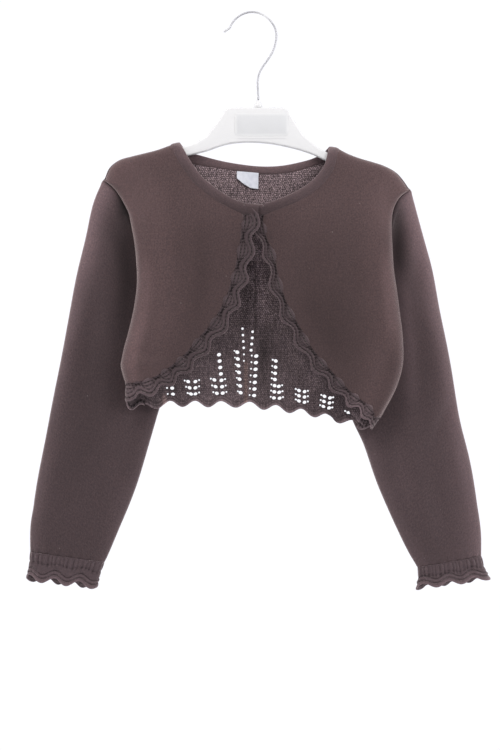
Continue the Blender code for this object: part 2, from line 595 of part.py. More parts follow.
def material(name, colour, roughness, metallic=0.0):
    made = bpy.data.materials.new(name)
    made.use_nodes = True
    shader = made.node_tree.nodes["Principled BSDF"]
    shader.inputs["Base Color"].default_value = (*colour, 1.0)
    shader.inputs["Roughness"].default_value = roughness
    shader.inputs["Metallic"].default_value = metallic
    return made


def placed(name, data, look):
    data.materials.append(look)
    thing = bpy.data.objects.new(name, data)
    home.objects.link(thing)
    return thing


def mesh_of(name, points, faces):
    mesh = bpy.data.meshes.new(name)
    mesh.from_pydata([tuple(float(v) * MM for v in p) for p in points], [], faces)
    return mesh


def cloth(name, sheet, look, closed=False, holes=()):
    """An open surface on a grid of points, made a wall of even thickness by Solidify."""
    sheet = np.array(sheet)
    rows, cols = sheet.shape[:2]
    points = list(sheet.reshape(-1, 3))
    faces = []
    for j in range(rows - 1):
        for i in range(cols if closed else cols - 1):
            k = (i + 1) % cols
            loop = [j * cols + i, j * cols + k, (j + 1) * cols + k, (j + 1) * cols + i]
            if (j, i) in holes:
                corner = [points[n] for n in loop]
                ring = []
                for u, v in EYELET_SHAPE:
                    ring.append(len(points))
                    points.append((1 - u) * (1 - v) * corner[0] + u * (1 - v) * corner[1]
                                  + u * v * corner[2] + (1 - u) * v * corner[3])
                for n in range(4):
                    faces.append((loop[n], loop[(n + 1) % 4], ring[(n + 1) % 4], ring[n]))
            else:
                faces.append(tuple(loop))
    thing = placed(name, mesh_of(name, points, faces), look)
    skin = thing.modifiers.new("wall", "SOLIDIFY")
    skin.thickness = WALL * MM
    skin.offset = 0.0
    return thing


def raised_strip(name, sheet, lift, look):
    """A lofted strip with a plain inside, whose outer points are raised by the given heights."""
    rows, cols = sheet.shape[:2]
    normal = np.cross(np.gradient(sheet, axis=1), np.gradient(sheet, axis=0))
    normal = normal / np.linalg.norm(normal, axis=2)[:, :, None]
    if normal[:, :, 1].sum() > 0:
        normal = -normal
    outer = sheet + normal * (0.5 * WALL + lift)[:, :, None]
    inner = sheet - normal * (0.5 * WALL)
    points = list(outer.reshape(-1, 3)) + list(inner.reshape(-1, 3))
    far = rows * cols
    faces = []
    for j in range(rows - 1):
        for i in range(cols - 1):
            a, b, c, d = j * cols + i, j * cols + i + 1, (j + 1) * cols + i + 1, (j + 1) * cols + i
            faces.append((a, b, c, d))
            faces.append((far + a, far + d, far + c, far + b))
    rim = list(range(cols)) + [(j + 1) * cols - 1 for j in range(1, rows)]
    rim += [(rows - 1) * cols + i for i in range(cols - 2, -1, -1)]
    rim += [j * cols for j in range(rows - 2, 0, -1)]
    for n, a in enumerate(rim):
        b = rim[(n + 1) % len(rim)]
        faces.append((a, far + a, far + b, b))
    mesh = mesh_of(name, points, faces)
    shape = bmesh.new()
    shape.from_mesh(mesh)
    bmesh.ops.recalc_face_normals(shape, faces=shape.faces[:])
    shape.to_mesh(mesh)
    shape.free()
    return placed(name, mesh, look)


def plate(name, outline, thickness, depth, look):
    """A flat outline in x and z, filled and extruded, then welded into a mesh."""
    curve = bpy.data.curves.new(name, "CURVE")
    curve.dimensions = "2D"
    curve.fill_mode = "BOTH"
    curve.extrude = 0.5 * thickness * MM
    line = curve.splines.new("POLY")
    line.points.add(len(outline) - 1)
    for point, (x, z) in zip(line.points, outline):
        point.co = (x * MM, z * MM, 0.0, 1.0)
    line.use_cyclic_u = True
    rough = placed(name + "_outline", curve, look)
    rough.rotation_euler = (math.radians(90.0), 0.0, 0.0)
    rough.location = (0.0, depth * MM, 0.0)
    bpy.context.view_layer.update()
    mesh = bpy.data.meshes.new_from_object(rough.evaluated_get(bpy.context.evaluated_depsgraph_get()))
    shape = bmesh.new()
    shape.from_mesh(mesh)
    bmesh.ops.remove_doubles(shape, verts=shape.verts[:], dist=0.00001)
    bmesh.ops.recalc_face_normals(shape, faces=shape.faces[:])
    shape.to_mesh(mesh)
    shape.free()
    mesh.name = name
    place = rough.matrix_world.copy()
    bpy.data.objects.remove(rough, do_unlink=True)
    mesh.materials.clear()
    thing = placed(name, mesh, look)
    thing.matrix_world = place
    return thing


def rounded(x0, z0, x1, z1, radius, steps=3):
    points = []
    for cx, cz, start in ((x1 - radius, z1 - radius, 0), (x0 + radius, z1 - radius, 90),
                          (x0 + radius, z0 + radius, 180), (x1 - radius, z0 + radius, 270)):
        for k in range(steps + 1):
            a = math.radians(start + 90.0 * k / steps)
            points.append((cx + radius * math.cos(a), cz + radius * math.sin(a)))
    return points


clear()
home = bpy.data.collections.new("cardigan")
bpy.context.scene.collection.children.link(home)

knit = material("knit", (0.095, 0.066, 0.064), 0.92)
knit_trim = material("knit_trim", (0.085, 0.058, 0.058), 0.92)
tape = material("label_tape", (0.62, 0.62, 0.66), 0.7)
white = material("white_plastic", (0.86, 0.87, 0.88), 0.3)
grey = material("grey_plate", (0.55, 0.62, 0.68), 0.45)
steel = material("steel", (0.62, 0.61, 0.6), 0.25, 1.0)

back, eyelets = back_sheet()
cloth("back", back, knit, holes=eyelets)
for side, word in ((-1, "left"), (1, "right")):
    cloth("front_" + word, front_sheet(side), knit)
    strip, ridges = trim_sheet(side)
    raised_strip("trim_" + word, strip, ridges, knit_trim)
    for face, half in sleeve_lengths(side).items():
        cloth("sleeve_" + word + "_" + face, half, knit)
    cloth("cuff_" + word, cuff_rings(side), knit_trim, closed=True)
cloth("neckband", band_sheet(), knit_trim)
plate("label", LABEL, LABEL_T, BACK_Y - 3.0, tape)

bar = plate("hanger", HANGER_TOP + HANGER_LOW, HANGER_T, 0.0, white)
edge = bar.modifiers.new("edge", "BEVEL")
edge.width = 1.6 * MM
edge.segments = 2
edge.limit_method = "ANGLE"
edge.angle_limit = math.radians(50.0)
plate("hanger_plate", rounded(*PLATE, 3.0), PLATE_T, -0.5 * (HANGER_T + PLATE_T) - 0.3, grey)
bpy.ops.mesh.primitive_cone_add(vertices=16, radius1=4.2 * MM, radius2=3.8 * MM, depth=6.8 * MM,
                                location=(6.8 * MM, 0.0, -91.0 * MM))
boss = bpy.context.object
boss.name = "hook_socket"
boss.data.materials.append(white)
for group in list(boss.users_collection):
    group.objects.unlink(boss)
home.objects.link(boss)

wire = bpy.data.curves.new("hook", "CURVE")
wire.dimensions = "3D"
wire.bevel_depth = 0.5 * WIRE * MM
wire.bevel_resolution = 2
wire.use_fill_caps = True
run = smooth(HOOK_LINE, np.linspace(0.0, 1.0, 34))
bend = wire.splines.new("POLY")
bend.points.add(len(run) - 1)
for k, (x, z) in enumerate(run):
    bend.points[k].co = (x * MM, 0.0, z * MM, 1.0)
    bend.points[k].radius = 1.5 if k < 2 else 1.0
placed("hook", wire, steel)
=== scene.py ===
"""Looks of the cropped cardigan on its hanger. Tables are in millimetres, the scene in metres.

Left and right are as seen from the front. -Y is the front and Z is up; the origin is the inside top of the
hook. Every piece of cloth is a thin shell on the form of the solid that it stands for.
"""

import math

import bmesh
import bpy
import numpy as np
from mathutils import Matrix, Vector


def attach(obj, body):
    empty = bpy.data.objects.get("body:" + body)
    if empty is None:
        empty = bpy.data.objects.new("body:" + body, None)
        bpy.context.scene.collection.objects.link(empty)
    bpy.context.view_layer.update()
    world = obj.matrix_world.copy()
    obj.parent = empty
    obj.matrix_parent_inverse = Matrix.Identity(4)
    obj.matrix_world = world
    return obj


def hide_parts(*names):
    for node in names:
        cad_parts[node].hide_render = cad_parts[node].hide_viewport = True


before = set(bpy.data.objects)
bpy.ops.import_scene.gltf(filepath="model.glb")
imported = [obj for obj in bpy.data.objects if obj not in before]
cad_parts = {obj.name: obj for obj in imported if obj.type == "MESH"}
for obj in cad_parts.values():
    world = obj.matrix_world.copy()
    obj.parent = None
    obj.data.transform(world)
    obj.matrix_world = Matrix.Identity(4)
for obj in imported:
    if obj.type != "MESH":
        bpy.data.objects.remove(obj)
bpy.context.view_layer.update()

# ---------------------------------------------------------------- named sizes, mm
MM = 0.001
CLOTH = 1.3           # thickness of the knitted cloth
BAND_CLOTH = 0.7      # thickness of each layer of the neckband, which is a flat tube
LABEL_CLOTH = 0.45    # thickness of the label's tape
LAP = 1.7             # a sleeve's edge lies this far outside the armhole edge
SIDE_GAP = 0.8        # space left at a side seam
FRONT_Y = -15.0       # depth of the front panels
BACK_Y = 9.0          # depth of the back panel
RETURN_Y = 5.0        # depth of a front panel where it has turned round the side
SEAM_Y = 7.0          # depth of the side seams
SHOULDER_R = 7.0      # rounding of the cloth over the hanger's arm
SPLIT = 0.15          # half the gap of the shoulder seam
OVERLAP_Y = 1.9       # each front moves this far in depth where the two overlap
TRIM_SWING = 2.9      # how far a trim's edge swings each way
HEM_SWING = 3.2       # how far the scalloped hem swings each way
CUFF_PLEATS = 36      # gathers round one cuff
SCALLOPS = 6          # scallops round one cuff
# how a cuff hangs: its height at the outer and the inner end, how far each end leans in along the cuff,
# how far it flares, how far its scalloped edge swings each way, and where in a scallop it starts, radians
CUFF = {
    -1: (25.4, 24.4, 1.2, -5.0, 2.1, 3.1, 4.34),
    1: (21.6, 18.8, -1.6, 1.6, 2.6, 2.4, 1.13),
}
HANGER_T = 9.6        # thickness of the hanger
WIRE = 1.9            # thickness of the hook's wire
HANGER_SOFT = 1.9     # rounding of its rim
PLATE_CORNER = 4.0    # radius of the grey panel's corners
PLATE_T = 0.24        # thickness of the panel
PLATE_Y = -4.98       # depth of its middle, on the face of the hanger
PLATE_SOFT = 0.1      # rounding of its rim
BAND_LAP = -0.8       # how far the neckband reaches past its seam
WALE = 1.45           # width of one knitted stitch
COURSE = 1.1          # height of one knitted stitch
PURL_WALE = 2.1       # width of one bump on the inside of the knit
PURL_COURSE = 1.9     # height of one row of bumps
PURL_MEAN = 1.12      # how pale the inside is where its bumps don't show
STITCH_RUN = 3.3      # length between the small holes along a trim's lines
SMALL_EYE = (0.95, 1.0)   # half width and half height of the small eyelets beside the columns
FAR = 1e9             # farther than anything is

# ---------------------------------------------------------------- how finely the cloth is divided
SIDES = ((-1, "left"), (1, "right"))
FRONT_ROWS = 150      # rows of a front panel
NECK_ROWS = 60        # those of them that lie along the neckband
FACE_COLUMNS = 72     # columns on the face of a front panel
TURN_COLUMNS = 12     # columns round its side fold
BEHIND_COLUMNS = 8    # columns from there to its side seam
FOLD_COLUMN = FACE_COLUMNS + TURN_COLUMNS // 2
BACK_COLUMNS = 258    # columns of the back
ARM_COLUMNS = 51      # those of them under each shoulder
LACE_ROWS = 102       # fine rows of the back, from the hem up
HOLE_STEP = 0.82      # height of a fine row, mm; the columns are about as wide
TRIM_STEPS = 440      # steps along a trim
TRIM_ACROSS = 44      # steps across it
TRIM_BLUR = 31        # steps over which the way that a trim hangs is evened out

# ---------------------------------------------------------------- outlines: x, z in mm
SHOULDER = {
    -1: ((-80, -132.5), (-95.5, -138), (-107.5, -141), (-119.5, -144), (-131.5, -147.5),
         (-141.5, -155), (-147.5, -167)),
    1: ((86.5, -136.3), (96.5, -141.5), (108.5, -146), (120.5, -149.5), (132.5, -153.5),
        (144.9, -160.6), (152, -168.4), (158.2, -176.6)),
}
FRONT_EDGE = {
    -1: ((-80, -132.5), (-71.2, -149.5), (-57.1, -169.3), (-38.4, -185.4), (-19.7, -196.5),
         (-9.5, -201.6), (-10.6, -222), (-16.7, -256.7), (-25.8, -285.5), (-39.5, -309.9),
         (-50.2, -322.3), (-65.4, -340.1), (-79, -352.1), (-89.9, -360), (-104.8, -367.6)),
    1: ((86.5, -136.3), (79.6, -159.1), (64.8, -176.5), (43.1, -190.1), (22.6, -198.1),
        (13.4, -202.1), (14.3, -223), (21.9, -241.8), (26.5, -264.2), (35.5, -291.5),
        (47.8, -314.3), (61.5, -337.2), (81.2, -360), (97.8, -377.9), (114.7, -390.8)),
}
FRONT_CORNER = 5      # number of the point of FRONT_EDGE that is the front's upper corner
# x, z of the side fold, radius of the turn, angle turned, then how far the panel goes on behind
SIDE = {
    -1: ((-147.5, -167, 2, 90, 0), (-139.2, -173.4, 9, 90, 0), (-133.2, -180.4, 13, 90, 0),
         (-127.2, -190.4, 9, 90, 0), (-122.2, -200.4, 7, 92, 0), (-119.2, -214.3, 7, 112, 0),
         (-116.2, -230.3, 7, 160, 0), (-114.2, -246.3, 7, 180, 1), (-113.2, -272.2, 8, 180, 8),
         (-115.6, -290, 9, 180, 16), (-122.2, -319.1, 10, 180, 20),
         (-127.9, -341, 10, 180, 19), (-129.6, -351, 10, 180, 17),
         (-125.4, -370, 9, 180, 9)),
    1: ((158.2, -176.6, 2, 90, 0), (148.7, -183.4, 7, 90, 0), (143.7, -190.9, 8, 90, 0),
        (140.7, -199.4, 7, 92, 0), (139.5, -209.3, 7, 105, 0), (139.7, -227.3, 7, 150, 0),
        (141.2, -256.2, 8, 180, 4), (145.2, -282.2, 9, 180, 20), (147.5, -299, 10, 180, 34),
        (150.5, -325, 10, 180, 36), (150.5, -350, 10, 180, 33), (143.2, -376, 9, 180, 24),
        (135.2, -391.9, 8, 180, 16), (128.5, -403.9, 7, 180, 9)),
}
UNDERARM_Z = {-1: -290, 1: -299}
NECK_EDGE = {
    -1: ((-71.5, -130.3), (-63.8, -144.3), (-50.7, -163.2), (-33.5, -178), (-16.4, -188.2), (-7, -191.6)),
    1: ((77.5, -134.5), (72.2, -154.1), (59.5, -169.3), (39.2, -182), (20.3, -189.6), (11, -192.2)),
}
BAND_END = {-1: (6.8, -201.9), 1: (-2.6, -203.4)}
BACK_NECK_EDGE = ((-71.5, -130.3), (-64.5, -138), (-51.3, -142), (-29, -147.8), (-10.5, -151),
                  (8.5, -153), (27.6, -152.6), (47, -149.2), (62.3, -144.8), (70.8, -140.5),
                  (77.5, -134.5))
BACK_NECK = ((-80, -132.5), (-69.7, -144.7), (-55.1, -150.4), (-38.6, -153.2), (-19.8, -156),
             (-5.5, -157.8), (8.5, -159.3), (23.6, -159.5), (37.6, -158.4), (57.7, -153.2),
             (73.8, -147.2), (86.5, -136.3))
BACK_SIDE = {
    -1: ((-147.5, -167, 0.8), (-139, -174, 5), (-133, -181, 7), (-126, -190.5, 8.5),
         (-119.5, -201, 9), (-113.5, -214, 9.5), (-106, -230, 10), (-99, -246, 10),
         (-91.5, -266, 10), (-86.5, -283, 9.5), (-89, -292, 7.5)),
    1: ((158.2, -176.6, 0.8), (148, -184, 5), (142.5, -191.5, 7), (138, -200, 8.5),
        (134.5, -210, 9), (129, -227, 9.5), (119, -246, 10), (107.5, -266, 10),
        (100, -285, 10), (99, -295, 9), (100.6, -301, 7.5)),
}
HEM_PEAKS = (-134, -108, -82, -56.5, -30.7, -1.1, 24.9, 49.9, 73.5, 98, 122)
HEM_END = {-1: (-106.6, -396), 1: (104.6, -419)}
HEM = ((-112, -394.5), (-78, -390.5), (-45, -391), (-4, -391.5), (36, -396.5),
       (62, -401), (86, -407), (103, -411.5), (118, -417))
# columns of eyelets: x, z of the lowest, x, z of the highest, how many, half width, half height, tilt;
# then how far off in x and z a small one lies beside each, and how many of those, from the lowest up
EYELETS = (
    (-78.9, -381.3, -79.6, -375.2, 2, 2, 1.6, 0, -5.2, 0.2, 2),
    (-60.7, -381.1, -63.6, -368.6, 3, 2.1, 1.6, -25, -3.5, 1, 3),
    (-56.3, -381.1, -56.3, -368.6, 3, 2.1, 1.6, 25, 3.7, 1.5, 3),
    (-34.8, -380.4, -37.3, -366.9, 3, 2.1, 1.6, -25, -3.5, 1.2, 3),
    (-28.9, -380.2, -32.6, -341.6, 7, 2.1, 1.7, 20, 3.7, 1.2, 3),
    (-10.9, -379.7, -14.3, -339.1, 7, 2.1, 1.7, -25, 3.9, 0.4, 0),
    (-13.8, -378.3, -17.2, -337.7, 7, 0.8, 0.8, 0, 0, 0, 0),
    (-7.8, -334.7, -9, -315.5, 4, 1.3, 1.3, 0, 0, 0, 0),
    (-7.6, -347.8, -7.6, -341.3, 2, 0.95, 1, 0, 0, 0, 0),
    (2.6, -382.7, 4.8, -343, 7, 2.2, 1.7, 15, -4.5, 0.5, 7),
    (-0.4, -337.1, 1.3, -318.6, 4, 1.6, 1.4, 20, 0, 0, 0),
    (22.6, -385.1, 24.4, -347.9, 7, 2, 1.7, -15, -3.2, 1.2, 7),
    (28.2, -385.3, 27.4, -373.4, 3, 2.1, 1.6, 25, 3.4, 1.1, 3),
    (47.7, -388.1, 47.7, -377.6, 3, 2, 1.6, -30, -3.3, 1.6, 3),
    (53.2, -389.4, 53.3, -378.7, 3, 1.9, 1.6, 25, 3.4, 0.8, 3),
    (72.2, -393.7, 73.3, -383.4, 3, 2, 1.6, -30, -3.2, 1.4, 3),
    (77.9, -395.1, 78.8, -385, 3, 2, 1.6, 25, 3.4, 0.6, 3),
    (97.4, -399.8, 97.4, -399.8, 1, 2.1, 1.5, 0, -3.5, 1.7, 1),
)
# where the lines of a trim run together, x and z, from the neck down and on round the side
NODES = {
    -1: ((-3.2, -224), (-9.8, -253), (-19.5, -276.7), (-26.5, -299.2), (-43, -321), (-63, -342),
         (-79, -354.5), (-94, -366.5)),
    1: ((16.4, -229), (21, -256.7), (33.8, -286.5), (43.7, -314.3), (62.1, -339.2), (80, -358),
        (96.9, -378), (110.7, -389)),
}
# which way, in x and z, a trim hangs behind the side fold
TRIM_END = {-1: (0, -1), 1: (-0.6, -0.8)}
# as shares of a trim: how far before the side fold it starts to turn that way, and over how much
TRIM_TURN = {-1: (0.05, 0.06), 1: (0.13, 0.07)}
# run along a trim, width there
TRIM_WIDTH = {
    -1: ((0, 14), (60, 13.4), (160, 14.4), (200, 13.6), (222, 15), (238, 24), (300, 24)),
    1: ((0, 9), (60, 8.5), (110, 10), (160, 11), (215, 10.5), (235, 10.5), (258, 13),
        (300, 13.5)),
}
# strength and half width of each line of small holes, from the panel outwards
TRIM_LINES = ((1, 0.95), (1, 0.95), (1, 0.95), (0.75, 0.95), (1.1, 1.05))
# outer x, z, inner x, z, outer depth, inner depth, half thickness of a sleeve's sections
SLEEVE = {
    -1: ((-158.2, -190.3, -82.2, -304.5, 4, 21, 7),
         (-165.9, -224.7, -79.2, -321.6, 7.5, 22.5, 8.5),
         (-175.1, -261.6, -81.2, -344.8, 11, 23, 10),
         (-183.3, -304.7, -86.3, -372.1, 13.5, 23.5, 10.5),
         (-192.5, -353, -95.3, -403.4, 15.5, 23.5, 10.5),
         (-202.6, -403.2, -103.3, -430.5, 14.5, 20.5, 10.5),
         (-211.6, -451.5, -117.8, -477.8, 13.5, 16.5, 10.5),
         (-218.2, -491.7, -133.4, -516, 13, 15, 10),
         (-222.2, -523.9, -146.2, -546.1, 12, 13, 8.5),
         (-221.7, -540, -148.6, -550, 12, 12, 8)),
    1: ((164.2, -194, 92.3, -312.6, 10, 22, 6.5),
        (173, -226.7, 88.3, -329.7, 11.5, 23.5, 8),
        (182, -258.6, 88.3, -352.9, 13.7, 24.2, 9.5),
        (189.8, -300.7, 93.4, -379.2, 15, 24.5, 10.3),
        (199.5, -348.9, 102.4, -407.4, 16, 23.5, 10.5),
        (207.6, -399.2, 113.9, -432.5, 14.5, 20.5, 10.5),
        (218.9, -447.5, 129.4, -477.8, 13.5, 16.5, 10.5),
        (226.2, -489.7, 147.4, -518, 13, 15, 10),
        (230.3, -523.9, 161.5, -546.1, 12, 13, 8.5),
        (230.3, -544.6, 167.7, -555.3, 12, 12, 8)),
}
HANGER_TOP = ((-129, -155.5), (-126, -151.7), (-119.5, -148.4), (-107.5, -145.2), (-95.5, -142.2),
              (-83.5, -139.2), (-76, -137.2), (-68.3, -133.9), (-57.9, -130.7), (-45.7, -123.8),
              (-34, -109), (-26.6, -97), (-22.5, -94.8), (32.5, -94.8), (36.8, -97), (44, -110),
              (51.3, -121.5), (65.9, -134.2), (75.1, -139.6), (84.5, -142.6), (96.5, -146),
              (108.5, -150.3), (120.5, -154.2), (131.5, -158.2), (136.5, -163.5))
HANGER_LOW = ((137.5, -168), (118.5, -162.5), (103.5, -157.5), (88.5, -152.5), (74.3, -147.9),
              (62.1, -142.1), (37.5, -134.5), (8.5, -129.9), (-23.5, -131.4), (-46.5, -138.7),
              (-64.1, -142.9), (-76.5, -146), (-91.5, -150), (-106.5, -154), (-121.5, -158),
              (-129.5, -160.2))
PLATE = (-16.7, -123.5, 36.8, -100.6)
PLATE_LINE = (10.5, -126.2)   # middle of the faint moulded line under the panel
SOCKET = ((-87.6, 2), (-88.2, 2.7), (-89.4, 2.9), (-90.6, 2.9), (-91.4, 4.2), (-92.6, 4.3), (-93.6, 4.1),
          (-95.2, 4.2))   # height and radius of the boss, from its top down
LABEL_LEFT = -14.7
LABEL_WIDTH = 21.8
LABEL_TOP = -157.6
LABEL_Y = 6.4
LABEL_FOOT = ((-14.7, -165.2), (-13.9, -165.4), (-8.5, -170), (-1.3, -174.5), (6.7, -175.7), (7.1, -175.6))
HOOK_LINE = ((-27.8, -18.9), (-21.4, -14.4), (-19.9, -11.2), (-11.5, -2.6), (0, 0.95), (11, -1.6),
             (19, -8), (24.1, -17), (24.8, -25), (22.6, -35), (6.9, -63.5), (6.8, -87))

# the soft fold of the back behind the opening: its left and right edge, top and foot, and how deep it is
FOLD_X = (-14, 3.9)
FOLD_Z = (-228, -330)
FOLD_DEEP = 4.2
SPINE_X = -5.6                # a ridge up from the hem, painted paler and warmer as a highlight, with its top and foot
SPINE_Z = (-344, -393)
HEM_LINES = (2.6, 5.6)        # heights of the dark lines over the hem
HEM_RIBS = (0.6, 4.1)         # heights of the ribs under them
BALL = (0.55, 1, 1.1)         # the ball at the hook's end: added radius, place along the wire, half width
GLEAM = (13, -3.5)            # x, z of the gleam, a painted highlight, on the hook

# ---------------------------------------------------------------- creases laid in
# Each is (height, half width, ((x, z), ...)): above 0 a soft ridge, below 0 a trough.
FRONT_CREASES = {
    -1: ((1.6, 9, ((-103, -190), (-104, -250), (-108, -330))),
         (-1.1, 12, ((-84, -215), (-80, -270), (-92, -335))),
         (1, 13, ((-62, -225), (-60, -275), (-78, -325))),
         (-1, 14, ((-38, -215), (-36, -260), (-52, -300))),
         (-1.2, 5, ((-124, -345), (-112, -338), (-100, -341))),
         (0.9, 5, ((-118, -357), (-104, -350), (-90, -351))),
         (-0.8, 7, ((-120, -180), (-112, -200), (-109, -235))),
         (0.7, 10, ((-78, -162), (-50, -195), (-30, -212)))),
    1: ((1.4, 9, ((125, -200), (128, -260), (134, -330))),
        (-1, 12, ((104, -215), (108, -275), (118, -335))),
        (0.9, 13, ((82, -205), (84, -262), (98, -322))),
        (-1, 13, ((56, -222), (58, -270), (80, -322))),
        (0.8, 9, ((36, -216), (43, -262), (62, -305))),
        (-0.9, 6, ((141, -352), (128, -366), (118, -382))),
        (0.8, 6, ((134, -335), (120, -352), (108, -366)))),
}
SLEEVE_CREASES = {
    -1: ((1.9, 8, ((-171, -300), (-184, -345), (-192, -400))),
         (-1.7, 9, ((-156, -290), (-165, -345), (-170, -410))),
         (1.3, 10, ((-140, -340), (-146, -400), (-152, -450))),
         (-1.2, 8, ((-160, -205), (-150, -235), (-140, -262))),
         (1.1, 7, ((-150, -195), (-141, -222), (-134, -250))),
         (-1.3, 7, ((-118, -410), (-127, -445), (-142, -485))),
         (1, 8, ((-196, -440), (-203, -480), (-207, -515))),
         (-0.9, 9, ((-178, -450), (-186, -490), (-190, -520)))),
    1: ((1.7, 8, ((176, -290), (187, -340), (193, -385))),
        (-1.9, 6, ((201, -388), (194, -402), (184, -428))),
        (1.3, 7, ((206, -408), (204, -440), (211, -480))),
        (-1.5, 9, ((160, -300), (168, -350), (170, -400))),
        (1.2, 10, ((150, -370), (158, -415), (170, -460))),
        (-1.1, 7, ((166, -215), (168, -245), (164, -272))),
        (1, 7, ((174, -232), (177, -262), (180, -290))),
        (-1.1, 9, ((182, -455), (190, -492), (196, -525))),
        (0.9, 8, ((160, -455), (172, -495), (182, -528)))),
}
BACK_CREASES = (
    (1.2, 14, ((-70, -185), (-66, -240), (-62, -300))),
    (-1.2, 12, ((-40, -190), (-38, -240), (-44, -310))),
    (1, 13, ((58, -190), (62, -250), (60, -310))),
    (-1.3, 12, ((86, -200), (84, -260), (76, -320))),
    (-1, 9, ((9, -160), (9.5, -176), (10, -190))),
    (1.3, 10, ((14, -318), (15, -350), (14, -380))),
    (0.9, 12, ((-14, -195), (-20, -225), (-28, -255))),
)

# Painted light (above 0) and painted shade on the knit's colour: (change, half width, ((x, z), ...))
FRONT_PAINTED_SHADING = {
    -1: ((-0.16, 9, ((-50, -215), (-49, -262), (-58, -318))),
         (-0.12, 13, ((2, -200), (-4, -215), (-8, -240))),
         (0.24, 9, ((-126, -178), (-121, -195), (-115, -235))),
         (0.24, 7, ((-121, -300), (-124, -328), (-128, -350))),
         (0.1, 16, ((-92, -215), (-96, -270), (-98, -325)))),
    1: ((-0.2, 34, ((72, -268), (92, -325), (102, -350))),
        (-0.12, 13, ((4, -200), (10, -215), (14, -236))),
        (0.2, 8, ((134, -178), (132, -200), (132, -222))),
        (-0.12, 12, ((48, -250), (62, -300), (90, -345)))),
}
BACK_PAINTED_SHADING = (
    (1.3, 9, ((2, -228), (6, -262), (11, -300))),
    (1.9, 8, ((6, -220), (7, -234), (8, -250))),
    (0.3, 10, ((28, -300), (48, -345), (70, -372))),
    (-0.4, 8, ((12, -318), (12, -345), (12, -385))),
    (0.45, 12, ((-30, -352), (-45, -362), (-60, -372))),
    (0.35, 7, ((-90, -388), (-60, -387), (-15, -387))),
    (0.4, 6, ((107, -405), (111, -409), (116, -414))),
)
SLEEVE_PAINTED_SHADING = {
    -1: ((-0.5, 12, ((-126, -196), (-128, -225), (-126, -270), (-132, -320))),
         (-0.8, 8, ((-134, -164), (-129, -182), (-124, -205))),
         (0.22, 11, ((-158, -200), (-158, -236), (-160, -268))),
         (-0.16, 22, ((-146, -320), (-158, -385), (-178, -470))),
         (0.14, 9, ((-126, -470), (-142, -520)))),
    1: ((-0.7, 8.5, ((146, -172), (146, -200), (148, -232), (150, -262))),
        (0.14, 14, ((168, -215), (174, -270), (178, -310))),
        (0.45, 8, ((150, -262), (157, -310), (160, -380))),
        (-0.1, 20, ((168, -340), (176, -390), (184, -450))),
        (0.14, 9, ((146, -440), (165, -505)))),
}
# Spots of painted light: (strength, x, half width, z, half height). The trims' are on their outside, the
# others on the inside of the knit.
CORNER_LIGHT = ((1.8, 113, 9, -410, 9),)   # the right corner of the hem turns to the light
HEM_TAB = (1, -88, 2.8, -387, 6)
BACK_SPOTS = (HEM_TAB, (1.2, 102.5, 2.2, -401, 2.2), (0.9, -8, 2.2, -392.5, 2.5), (0.5, 64.5, 9, -367, 9),
              (0.5, -11, 5, -290, 9))
TRIM_SPOTS = {-1: ((0.6, -112, 22, -376, 20), (1.1, -114, 18, -395, 5)), 1: ((0.9, 104, 18, -401, 20),)}

# ---------------------------------------------------------------- colours
# colour of the painted warm highlight on the back's ridge and on the tab at the hem
WARM_BROWN = (0.17, 0.105, 0.085)
LINT = (0.3, 0.26, 0.25)
BROWN = ((0.054, 0.0355, 0.0365), (0.066, 0.0412, 0.041))
# a cooler copy of BROWN: the cool shade on the sleeves painted into their colour
SLEEVE_BROWN = ((0.0535, 0.0374, 0.0405), (0.0655, 0.0434, 0.0455))
DEEP = ((0.054, 0.0385, 0.043), (0.065, 0.0447, 0.0478))
BAND_BROWN = ((0.054, 0.037, 0.040), (0.065, 0.043, 0.0445))
PALE = ((0.069, 0.0515, 0.0565), (0.091, 0.068, 0.070))

# ---------------------------------------------------------------- room and camera, in metres
ROOM_COLOUR = (1.0, 1.0, 1.05, 1.0)
FRONT_LIGHT = 0.26
BACK_LIGHT = 1.02
FLOOR_RADIUS = 2.4
FLOOR_Z = -1.25
# name, place, what it is aimed at, size, power, colour
SOFTBOXES = (
    ("key_softbox", (-0.5, -0.85, 0.6), (0.0, 0.0, -0.25), 0.6, 8.5, (1.0, 0.97, 0.945)),
    ("fill_softbox", (0.85, -0.8, 0.2), (0.1, 0.0, -0.35), 0.7, 7.5, (0.99, 0.975, 0.97)),
    ("side_softbox", (-1.2, -0.2, 0.0), (-0.1, 0.0, -0.35), 0.8, 5.0, (1.0, 0.98, 0.97)),
    ("low_softbox", (1.2, -0.2, -0.4), (0.1, 0.0, -0.35), 0.8, 5.0, (0.98, 0.98, 1.0)),
)
SENSOR = 36.0         # the camera's sensor, mm
EYE_AWAY = 2.2
EYE_X = -0.0015
EYE_Z = -0.362
VIEW_TALL = 0.750     # height of the picture at the garment


# ---------------------------------------------------------------- curves and surfaces
def run_along(points):
    """Distance of each point along a line from its first one."""
    return np.concatenate([[0], np.cumsum(np.linalg.norm(np.diff(points, axis=0), axis=1))])


def paced(grid, axis):
    """Distance of each point of a grid from the first one of its column (axis 0) or of its row (axis 1)."""
    step = np.linalg.norm(np.diff(grid, axis=axis), axis=2)
    start = np.zeros_like(np.take(step, [0], axis=axis))
    return np.concatenate([start, np.cumsum(step, axis=axis)], axis=axis)


def between(rows, knot, want):
    """Rows at the wanted places along their knots, filled in by smooth cubics."""
    slope = np.gradient(rows, knot, axis=0)
    place = np.clip(np.searchsorted(knot, want, side="right") - 1, 0, len(rows) - 2)
    as_rows = (-1,) + (1,) * (rows.ndim - 1)
    width = (knot[place + 1] - knot[place]).reshape(as_rows)
    t = (want - knot[place]).reshape(as_rows) / width
    return ((2 * t ** 3 - 3 * t ** 2 + 1) * rows[place] + (t ** 3 - 2 * t ** 2 + t) * width * slope[place]
            + (3 * t ** 2 - 2 * t ** 3) * rows[place + 1] + (t ** 3 - t ** 2) * width * slope[place + 1])


def evenly(count):
    """Shares from 0 to 1 in even steps."""
    return np.linspace(0, 1, count)


